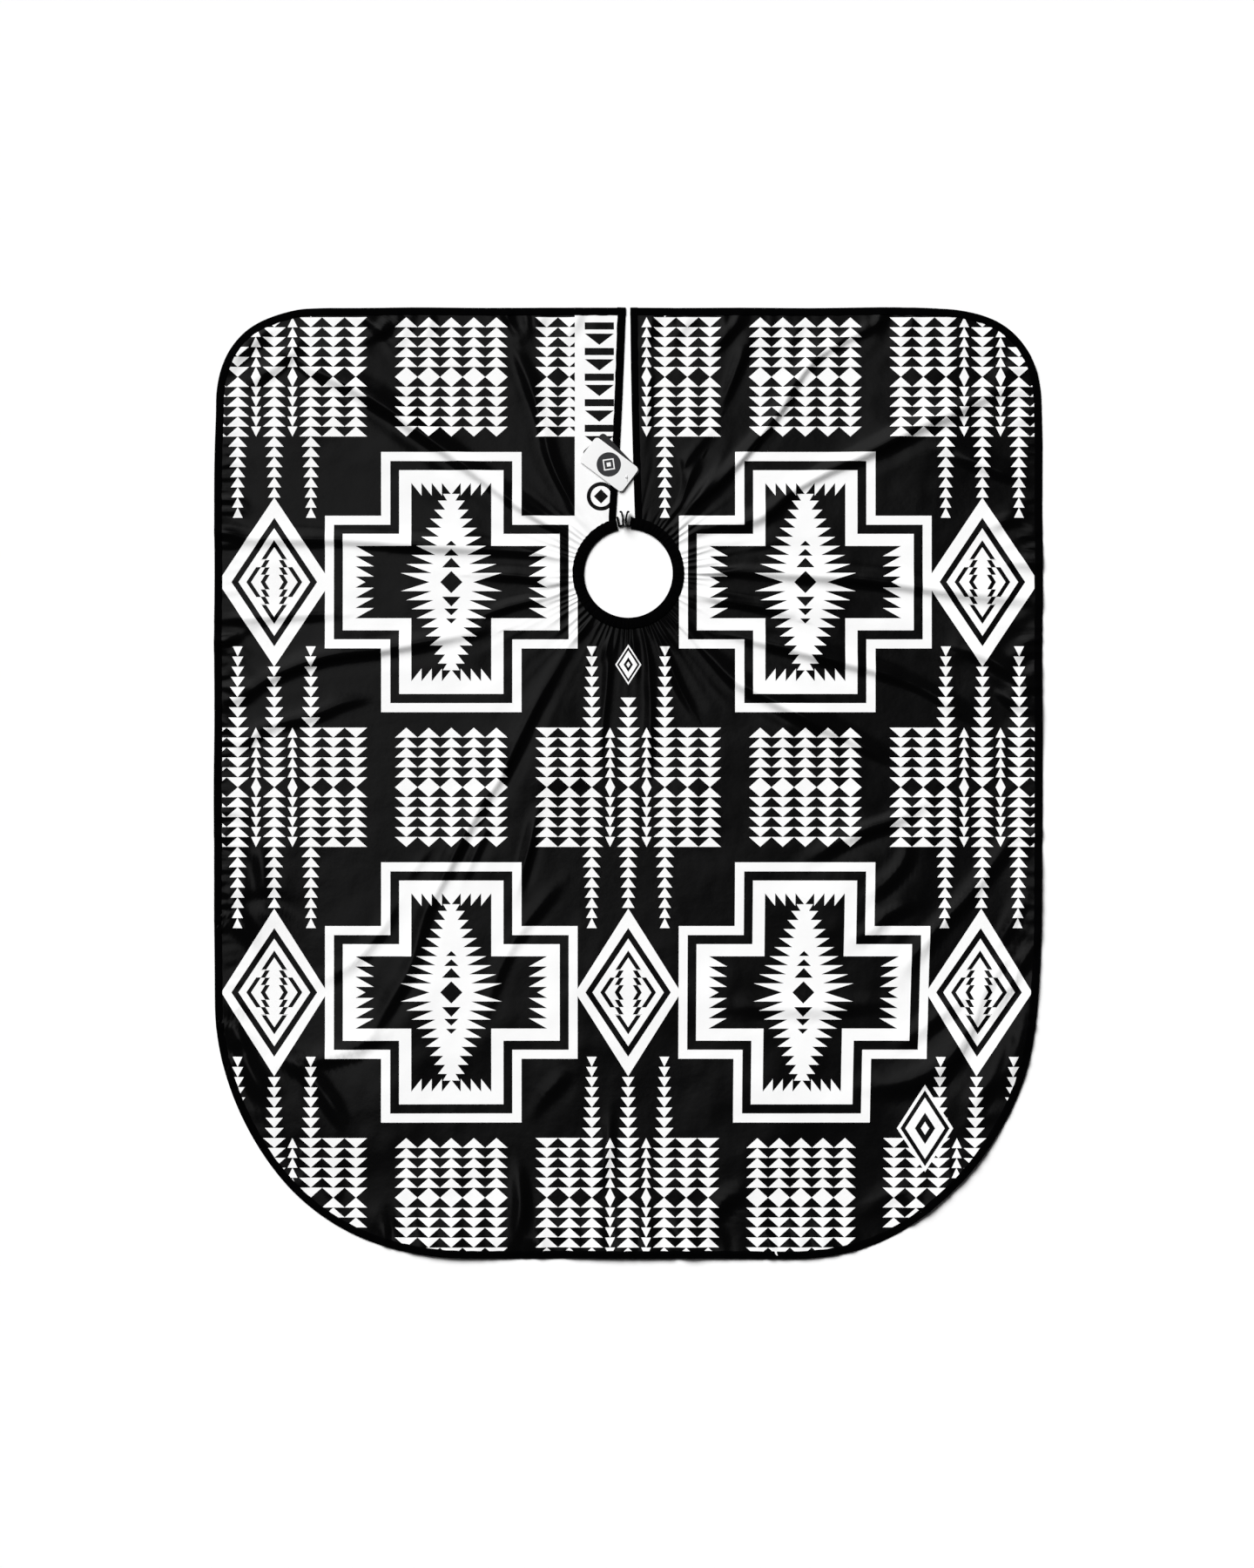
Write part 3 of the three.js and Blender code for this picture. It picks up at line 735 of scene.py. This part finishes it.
def snap_tape_path(side):
    """One standing tape's middle line: straight through the snap, then leaning out to a turned tip."""
    face = SNAP_TAPE_FACE + SNAP_TAPE_THICKNESS / 2
    root = TAPE_ROOT_Y
    tip = TAPE_L_HIGH.y - SNAP_TAPE_THICKNESS / 2
    points = [(0, root), (0, root + 4.5 * MM), (0, root + 9 * MM), (1.5 * MM, tip - 3.4 * MM)]
    points += [(2.5 * MM, tip - 0.4 * MM), (4.0 * MM, tip), (5.4 * MM, tip - 0.7 * MM)]
    return [(CLOSURE_X + side * (face + out), y) for out, y in points]


def facing_path(side):
    """The line down the facing on one end of the band, round its foot and across to the tape's root."""
    seam = 0.8 * MM if side < 0 else 0.3 * MM
    rim = NECK_Y + NECK_INNER
    lean = (CLOSURE_OUTER - CLOSURE_INNER) / 2 / NECKBAND_WIDTH
    foot = CLOSURE_INNER / 2 - seam - FACING_WIDTH / 2
    rises = (19.4 * MM, 14 * MM, 9 * MM, 6 * MM, 4.9 * MM)
    points = [(foot + lean * rise, rim + rise) for rise in rises]
    points += [(4.6 * MM, rim + 5.5 * MM), (SNAP_TAPE_FACE + 0.3 * MM, rim + 8.2 * MM)]
    return [(CLOSURE_X + side * out, y) for out, y in points]


# --- Shader graphs ---


class Graph:
    """The node tree of a material, or of the sky, under construction."""

    def __init__(self, owner):
        self.owner = owner
        owner.use_nodes = True
        self.tree = owner.node_tree
        self.tree.nodes.clear()

    def node(self, kind, settings=None, inputs=None, output=0):
        """Adds a node: its settings first, then the values or links of its sockets. Gives one output."""
        made = self.tree.nodes.new("ShaderNode" + kind)
        for key, value in (settings or {}).items():
            setattr(made, key, value)
        for key, value in (inputs or {}).items():
            if isinstance(value, Value):
                self.tree.links.new(value.socket, made.inputs[key])
            else:
                made.inputs[key].default_value = value
        return Value(self, made.outputs[output])

    def place(self):
        """The object coordinates in millimetres, as three values."""
        where = self.node("TexCoord", output=3)
        return [self.node("SeparateXYZ", inputs={0: where}, output=k) * 1000 for k in range(3)]

    def noise(self, scale, detail=2.0, roughness=0.5):
        """Noise over the object coordinates, about 0.5 on average."""
        inputs = {"Vector": self.node("TexCoord", output=3), "Scale": scale, "Detail": detail}
        return self.node("TexNoise", inputs=inputs | {"Roughness": roughness})

    def colours(self, factor, first, second):
        """A colour between two others."""
        return self.node("Mix", {"data_type": "RGBA"}, {0: factor, 6: first, 7: second}, 2)

    def finish(self, kind, shader):
        """Wires a shader to the output and gives the owner of the tree."""
        out = self.tree.nodes.new("ShaderNodeOutput" + kind)
        self.tree.links.new(shader.socket, out.inputs[0])
        return self.owner

    def surface(self, colour, roughness, relief, specular=0.5):
        """The material, with one principled shader. Its relief is a height, a strength and a distance."""
        height, strength, distance = relief
        inputs = {"Height": height, "Strength": strength, "Distance": distance}
        inputs = {"Base Color": colour, "Roughness": roughness, "Normal": self.node("Bump", inputs=inputs)}
        inputs["Specular IOR Level"] = specular
        return self.finish("Material", self.node("BsdfPrincipled", inputs=inputs))


def material_graph(name):
    return Graph(bpy.data.materials.new(name))


def math_node(operation, reflected=False):
    """A method that adds one Math node to a value's graph, with the value as its first or second number."""

    def method(self, *others):
        numbers = others + (self,) if reflected else (self,) + others
        return self.graph.node("Math", {"operation": operation}, dict(enumerate(numbers)))

    return method


class Value:
    """A number in a shader graph. Arithmetic on it adds Math nodes."""

    def __init__(self, graph, socket):
        self.graph = graph
        self.socket = socket

    __add__ = __radd__ = math_node("ADD")
    __sub__ = math_node("SUBTRACT")
    __rsub__ = math_node("SUBTRACT", reflected=True)
    __mul__ = __rmul__ = math_node("MULTIPLY")
    __truediv__ = math_node("DIVIDE")
    __rtruediv__ = math_node("DIVIDE", reflected=True)
    __lt__ = math_node("LESS_THAN")
    __gt__ = math_node("GREATER_THAN")
    __and__ = math_node("MULTIPLY")
    __or__ = math_node("MAXIMUM")
    __abs__ = math_node("ABSOLUTE")
    frac = math_node("FRACT")
    floor = math_node("FLOOR")
    sine = math_node("SINE")
    root = math_node("SQRT")
    wrap_between = math_node("WRAP")

    def wrap(self, half):
        """Repeats the value every two halves, between -half and half."""
        return self.wrap_between(half, -half)

    def ease(self, low, high):
        """Rises smoothly from 0 at low to 1 at high, or falls where low is the greater."""
        settings = {"interpolation_type": "SMOOTHSTEP"}
        inputs = {0: self, 1: low, 2: high, 3: 0.0, 4: 1.0}
        if low > high:
            inputs = {0: self, 1: high, 2: low, 3: 1.0, 4: 0.0}
        return self.graph.node("MapRange", settings, inputs)


# --- The print, in millimetres ---

REPEAT_X = 567.2  # between two crosses, side by side
REPEAT_Y = 657.2
CROSS_X = REPEAT_X / 2
CROSS_Y = 322.0
ROW = 15.92  # height of one row of triangles in a band
BAND_ROWS = 6  # on each side of a band's middle
TRIANGLE = 18.05  # half width of a triangle's base
PRINT_HALF_WIDTH = 650.5
DRAWN_IN = 13.0  # how much further left the repeats lie in the lower right corner

# Each plus shape: half length and half width of its level arm, then half width and half height of its post.
OUTER_FRAME = (202.4, 106.3, 112.5, 208.4)
FRAME_GAP = (188.0, 91.8, 97.7, 193.8)
INNER_FRAME = (173.8, 77.3, 83.6, 179.2)

# Each arrowhead on the feather: the heights of its base and its tip, and half the width of its base.
ARROWHEADS = ((23.4, 39.1, 14.9), (42.3, 53.1, 11.5), (58.3, 66.4, 8.4))

# Each plain diamond: its middle and its half width.
PLAIN_MARKS = ((0.0, 189.8, 20.9), (475.2, -552.7, 45.1))

STRIPE = (-85.8, 0.0, 336.0)  # its left and right side and its foot
BARS = (-69.8, -23.0, 492.0, 738.0)  # left, right, foot and head of the bars on it
BAR_PITCH = 41.0
WEDGE_X = -46.4
RING_CENTRE = (-43.7, 459.3)


def stepped_cross(across, up, arm_length, arm_width, post_width, post_height):
    """A plus shape: a level arm and an upright one, each given by its half length and half width."""
    arm = (across < arm_length) & (up < arm_width)
    post = (across < post_width) & (up < post_height)
    return arm | post


def saw_toothed_plus(across, up):
    """A plus shape whose four ends are rows of slanting teeth."""
    arm_width, post_width, tooth = 57.85, 64.0, 16.33
    arm_end = 153.5 - 29.3 * ((arm_width - up) / tooth).frac()
    post_end = 158.8 - 20.4 * ((post_width - across) / tooth).frac()
    arm = (up < arm_width) & (across < arm_end)
    post = (across < post_width) & (up < post_end)
    return arm | post


def feather_shape(across, up):
    """A stack of barbs, each widening from root to tip, narrower the further they are from the middle."""
    barb, height = 14.5, 141.2
    row = (up / barb).floor()
    along = (up / barb).frac()
    root = 34.9 - 3.12 * row
    tip = 80.9 - 9.0 * row + 0.196 * row * row
    return (across < root + (tip - root) * along) & (up < height)


def feather_marks(across, up):
    """A small diamond in the middle and arrowheads that point away from it."""
    marks = across + up < 17.8
    for base, tip, half in ARROWHEADS:
        marks = marks | ((up > base) & (across < (tip - up) * (half / (tip - base))))
    return marks


def cross_motif(across, up):
    """White plus frames, one in the other, round a black plus with saw-toothed ends
    that holds a white feather with black marks down its middle."""
    frames = stepped_cross(across, up, *OUTER_FRAME) - stepped_cross(across, up, *FRAME_GAP)
    frames = frames + stepped_cross(across, up, *INNER_FRAME)
    black = saw_toothed_plus(across, up)
    feather = feather_shape(across, up)
    marks = feather_marks(across, up)
    ground = frames - (black & (1 - feather)) - (marks & feather)
    return (ground & (frames > 0.5)) | (black & feather & (1 - marks))


def diamond_motif(across, up, narrow):
    """A tall white diamond with black diamond rings in it and a saw-toothed spindle in the middle.
    Its outer edge is a little narrower and steeper where narrow is 1."""
    size = across + up / 1.5
    outer = across + up / (1.5 + 0.08 * narrow) < 90.3 - 5.3 * narrow
    ring = (size < 68.7) & (size > 57.5)
    inner = (size < 44.8) & (size > 37.3) & ((up < 23.9) | (up > 36.6))
    tooth, depth, line = 11.75, 7.2, 7.3
    start = 14.5 - depth * (up / tooth).frac()
    saw = (across > start) & (across < start + line) & (up < 35.7)
    return outer & (1 - (ring | inner | saw))


def triangle_band(from_diamond, from_cross, up):
    """Rows of triangles: a wide block on each diamond's line and a narrow one on each cross's line.
    A triangle's half width grows from nothing to its base across one row."""
    share = (up / ROW).frac()
    point_in = share * TRIANGLE
    point_out = (1 - share) * TRIANGLE
    centre = from_diamond < point_in
    outer = abs((from_diamond - 58.5).wrap(TRIANGLE)) < point_in
    outer = outer & (from_diamond > 40.4) & (from_diamond < 148.7)
    thin = abs(from_diamond - 29.2) < (1 - share) * 7.95
    narrow = (abs(from_cross.wrap(TRIANGLE)) < point_out) & (from_cross < 90.3)
    return (centre | outer | thin | narrow) & (up < BAND_ROWS * ROW)


def triangle_columns(from_diamond, up):
    """Columns of single triangles that shrink from a band towards the diamonds: eight down each side
    of a diamond's line and six on it."""
    pitch = 16.26
    start = BAND_ROWS * ROW
    row = ((up - start) / pitch).floor()
    half = (15.0 - row) * ((up - start) / pitch).frac()
    beyond = up > start
    side = (abs(from_diamond - 58.6) < half) & (up < start + 8 * pitch)
    middle = (from_diamond < half) & (up < start + 6 * pitch)
    return side & beyond, middle & beyond


def plain_mark(x, y, centre_x, centre_y, half):
    """A plain white diamond with two black rings in it. Gives the area that it covers and its white part."""
    size = abs(x - centre_x) + abs(y - centre_y) / 1.55
    area = size < half
    ring = (size < half * 0.87) & (size > half * 0.70)
    middle = (size < half * 0.36) & (size > half * 0.15)
    return area, area & (1 - (ring | middle))


def stripe_bars(x, y):
    """Plain bars and triangles down the white stripe, with a ring at its foot."""
    left, right, foot, head = BARS
    inside = (x > left) & (x < right) & (y < head) & (y > foot)
    share = ((y - foot) / BAR_PITCH).frac()
    bar = share > 0.72
    wedge = (share > 0.12) & (share < 0.56) & (abs(x - WEDGE_X) < (share - 0.12) * 53.0)
    ring_x = x - RING_CENTRE[0]
    ring_y = y - RING_CENTRE[1]
    spot = (ring_x * ring_x + ring_y * ring_y).root()
    ring = (spot < 22.9) & (spot > 16.6)
    dot = abs(ring_x) + abs(ring_y) < 11.5
    return (inside & (bar | wedge)) | ring | dot


def print_mask(graph):
    """1 where the cloth is white and 0 where it is black. Each motif is drawn once, in distances from its
    middle that wrap at every repeat. The neck and the stripe interrupt the print, and towards the lower
    right corner the repeats are drawn in."""
    x, y, _ = graph.place()
    drawn_in = DRAWN_IN * (x.ease(-60.0, 560.0) & y.ease(-60.0, -680.0))
    across = abs((x + drawn_in - CROSS_X).wrap(CROSS_X))
    up = abs((y - CROSS_Y).wrap(REPEAT_Y / 2))
    from_diamond = CROSS_X - across
    from_band = REPEAT_Y / 2 - up
    crosses = cross_motif(across, up) & (abs(x + drawn_in) < 2 * REPEAT_X - 488.0)
    at_neck = (abs(x) < 100) & (y > 150)
    diamonds = diamond_motif(from_diamond, up, y < 0) & (1 - at_neck)
    band = triangle_band(from_diamond, across, from_band)
    side, middle = triangle_columns(from_diamond, from_band)
    middle = middle & (1 - ((abs(x) < 30) & (y > 137)))
    white = crosses | diamonds | band | side | middle
    stripe = (x > STRIPE[0]) & (x < STRIPE[1]) & (y > STRIPE[2])
    beside = (abs(x) < 19.5) & (y > 421.0)
    white = (white & (1 - (stripe | beside))) | (stripe & (1 - stripe_bars(x, y)))
    for centre_x, centre_y, half in PLAIN_MARKS:
        area, mark = plain_mark(x, y, centre_x, centre_y, half)
        white = (white & (1 - area)) | mark
    return white & (abs(x) < PRINT_HALF_WIDTH)


# --- Materials ---


def printed_polyester():
    """Smooth woven polyester: black ground, white print, a fine plain weave, faint creasing and a fine
    crinkle across the side hems."""
    graph = material_graph("printed_polyester")
    white = print_mask(graph)
    x, y, _ = graph.place()
    tone = graph.noise(9.0, 3.0)
    black = graph.colours(tone, (0.0013, 0.0013, 0.0014, 1), (0.0021, 0.0021, 0.0022, 1))
    ivory = graph.colours(tone, (0.92, 0.92, 0.92, 1), (0.96, 0.96, 0.96, 1))
    weave = (x * 9.0).sine() * (y * 9.0).sine()
    crease = graph.noise(28.0, 4.0, 0.55)
    by_hem = abs(x).ease(612.0, 648.0) & abs(y).ease(640.0, 560.0)
    phase = y * 0.34 + 9.0 * graph.noise(11.0, 1.0)
    patch = graph.noise(7.0, 1.0).ease(0.46, 0.62)
    height = weave * 0.006 + crease * 0.8 + phase.sine() * by_hem * patch
    rough = 0.2 + 0.2 * white + 0.05 * (tone - 0.5)
    return graph.surface(graph.colours(white, black, ivory), rough, (height, 0.5, 0.0012), 0.26)


def ribbed_tape(name, colour, scale, depth, roughness=0.75):
    """Matte black tape with a fine rib and a little unevenness in its tone."""
    graph = material_graph(name)
    x, y, _ = graph.place()
    rib = (x * scale).sine() * (y * scale).sine()
    tone = graph.noise(60.0, 3.0)
    shade = graph.colours(tone, colour, tuple(c * 1.8 for c in colour[:3]) + (1,))
    return graph.surface(shade, roughness + 0.1 * (tone - 0.5), (rib * 0.3 + tone, 0.4, depth), 0.025)


def smooth_plastic(name, colour, roughness):
    """Moulded plastic with faint mould texture."""
    graph = material_graph(name)
    grain = graph.noise(900.0, 2.0)
    return graph.surface(colour, roughness + 0.1 * (grain - 0.5), (grain, 0.15, 0.0002))


def rotated_place(graph, centre, angle):
    """Object coordinates in millimetres about a point, turned so that the first runs along the card."""
    x, y, _ = graph.place()
    x = x - centre[0] * 1000
    y = y - centre[1] * 1000
    c, s = math.cos(angle), math.sin(angle)
    return x * c + y * s, y * c - x * s


def white_card(centre, angle):
    """Coated white card with painted shade, a faint grey fade that darkens it towards one end, and a plain
    round badge.
    """
    graph = material_graph("white_card")
    along, across = rotated_place(graph, centre, angle)
    badge = (along * along + across * across).root() < 19.5
    size = abs(along) + abs(across)
    mark = ((size < 12.5) & (size > 9.8)) | (size < 4.6)
    # Painted shade: the card's white is mixed towards grey, more towards one end, to stand in for the light
    # falling off across the card.
    fade = (0.5 - along / 86.0) * 0.15
    paper_with_painted_shade = graph.colours(fade, (0.92, 0.92, 0.92, 1), (0.30, 0.30, 0.31, 1))
    ink = graph.colours(mark, (0.035, 0.035, 0.038, 1), (0.9, 0.9, 0.9, 1))
    grain = graph.noise(700.0, 3.0)
    colour = graph.colours(badge, paper_with_painted_shade, ink)
    return graph.surface(colour, 0.42 + 0.1 * (grain - 0.5), (grain, 0.08, 0.0003))


def black_card():
    """Coated black card."""
    graph = material_graph("black_card")
    grain = graph.noise(700.0, 3.0)
    colour = graph.colours(grain, (0.020, 0.020, 0.021, 1), (0.028, 0.028, 0.029, 1))
    return graph.surface(colour, 0.5 + 0.1 * (grain - 0.5), (grain, 0.1, 0.0003))


def floor_paint():
    """A pale seamless floor."""
    graph = material_graph("floor")
    paint = {"Base Color": (0.97, 0.97, 0.97, 1), "Roughness": 0.9, "Specular IOR Level": 0.1}
    return graph.finish("Material", graph.node("BsdfPrincipled", inputs=paint))


def dress(obj, material):
    """Gives an object one material in place of any it has."""
    obj.data.materials.clear()
    obj.data.materials.append(material)


# --- Camera, lights and floor ---

LENS = 100  # millimetres
SENSOR = 36
VIEW_HEIGHT = 2.512  # what the picture's longer side spans at the floor
VIEW_X = -2.1 * MM
VIEW_Y = -1.4 * MM
WINDOW = Vector((-2.4, 3.8, 4.2))  # the way to the light at the upper left
PANEL = Vector((-0.16, 0.10, 1.0))  # and to the one overhead
FLOOR_REACH = 20


def look_down():
    """A long lens straight above the middle of the cape."""
    data = bpy.data.cameras.new("camera")
    data.lens = LENS
    data.sensor_width = SENSOR
    data.sensor_height = SENSOR
    data.sensor_fit = "AUTO"
    data.clip_end = 60
    camera = bpy.data.objects.new("camera", data)
    camera.location = (VIEW_X, VIEW_Y, VIEW_HEIGHT * LENS / SENSOR)
    bpy.context.scene.collection.objects.link(camera)
    bpy.context.scene.camera = camera


def key_light():
    """A broad soft sun that shines from the window towards the middle of the floor."""
    data = bpy.data.lights.new("key", "SUN")
    data.angle = math.radians(36)
    data.energy = 4.0
    light = bpy.data.objects.new("key", data)
    light.location = WINDOW
    light.rotation_euler = (-WINDOW).to_track_quat("-Z", "Y").to_euler()
    light.visible_glossy = False
    bpy.context.scene.collection.objects.link(light)


def sky():
    """A dark room with three soft lights in it: the window at the upper left, a small panel overhead
    and a low glow all round the horizon."""
    bpy.context.scene.world = bpy.data.worlds.new("studio")
    graph = Graph(bpy.context.scene.world)
    where = graph.node("TexCoord")
    rise = graph.node("SeparateXYZ", inputs={0: where}, output=2)
    dot = {"operation": "DOT_PRODUCT"}
    towards = graph.node("VectorMath", dot, {0: where, 1: WINDOW.normalized()}, 1)
    overhead = graph.node("VectorMath", dot, {0: where, 1: PANEL.normalized()}, 1)
    glow = 0.01 + 1.05 * towards.ease(0.82, 0.97) + 0.66 * overhead.ease(0.965, 0.9968)
    glow = glow + 0.75 * rise.ease(0.09, 0.0)
    graph.finish("World", graph.node("Background", inputs={"Color": (1, 1, 1, 1), "Strength": glow}))


def pale_floor():
    """A large square floor at height zero, under the cape."""
    xy = np.stack(np.meshgrid((-FLOOR_REACH, FLOOR_REACH), (-FLOOR_REACH, FLOOR_REACH)), axis=-1)
    floor = grid_object("floor", with_height(xy, np.zeros((2, 2))))
    dress(floor, floor_paint())


# --- Assembly ---


def bound_edge(name, stitches_name, node, path, inward, width, thickness, seed, taper=1.0, flip=False):
    """A binding tape on one edge of the cloth and the row of stitches near the tape's inner edge."""
    tape = tape_along(name, path, inward, width, thickness, seed, taper, flip)
    dress(tape, tape_black)
    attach(tape, "cape")
    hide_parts(node)
    offset = width * np.linspace(1, taper, len(path))[:, None] - SEAM_INSET
    stitches = stitch_row(stitches_name, path, inward, offset, thickness / 2 - STITCH_SINK)
    dress(stitches, thread_black)
    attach(stitches, "cape")
    return [tape, stitches]


look_down()
key_light()
sky()
pale_floor()
bpy.context.scene.view_settings.view_transform = "Standard"

tape_black = ribbed_tape("black_tape", (0.0006, 0.0006, 0.0007, 1), 6.0, 0.0003)
band_black = ribbed_tape("neckband_black", (0.0007, 0.0007, 0.0008, 1), 5.0, 0.0004)
thread_black = ribbed_tape("black_thread", (0.002, 0.002, 0.0022, 1), 14.0, 0.0002, 0.6)

cloth = cape_cloth()
dress(cloth, printed_polyester())
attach(cloth, "cape")
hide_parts("cape_panel")

with_cloth = bound_edge(
    "hem_binding", "hem_stitches", "outer_hem_binding",
    *hem_path(), HEM_WIDTH, HEM_THICKNESS, seed=0.0)
with_cloth += bound_edge(
    "slit_binding_l", "slit_binding_l_stitches", "slit_binding_left",
    *slit_path(0), LEFT_TAPE_WIDTH, SLIT_TAPE_THICKNESS, seed=1.0, taper=LEFT_TAPE_TAPER)
with_cloth += bound_edge(
    "slit_binding_r", "slit_binding_r_stitches", "slit_binding_right",
    *slit_path(1), RIGHT_TAPE_WIDTH, SLIT_TAPE_THICKNESS, seed=2.0, flip=True)

band = neckband()
dress(band, band_black)
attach(band, "cape")
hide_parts("neckband_casing")

band_stitches = stitch_row("neckband_stitches", *band_seam(), 0, BAND_STITCH_LIFT, over=band_top_at)
dress(band_stitches, thread_black)
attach(band_stitches, "cape")
with_cloth += [band, band_stitches]

for side, letter, word in ((-1, "l", "left"), (1, "r", "right")):
    facing = standing_ribbon(
        "closure_facing_" + letter, facing_path(side), FACING_WIDTHS,
        FACING_LOW, FACING_HIGH, flip=(side < 0))
    dress(facing, band_black)
    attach(facing, "cape")
    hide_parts("closure_gusset_" + word)
    ribbon = standing_ribbon(
        "snap_ribbon_" + letter, snap_tape_path(side), [SNAP_TAPE_THICKNESS],
        TAPE_L_LOW.z, TAPE_L_HIGH.z, lean=-SNAP_TAPE_LEAN * side, flip=(side < 0))
    dress(ribbon, band_black)
    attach(ribbon, word + "_tape")
    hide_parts("snap_tape_" + word)

dress(nodes["neck_elastic"], band_black)
snap_black = smooth_plastic("snap_black", (0.002, 0.002, 0.0022, 1), 0.5)
for node in ("snap_socket", "snap_stud", "snap_cap", "snap_back_ring"):
    dress(nodes[node], snap_black)
dress(nodes["tag_pin"], smooth_plastic("white_nylon", (0.9, 0.9, 0.9, 1), 0.4))
front_low, front_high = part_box("tag_front_card")
front_centre = ((front_low + front_high) / 2).to_2d()
dress(nodes["tag_front_card"], white_card(front_centre, math.radians(143)))
dress(nodes["tag_back_card"], black_card())
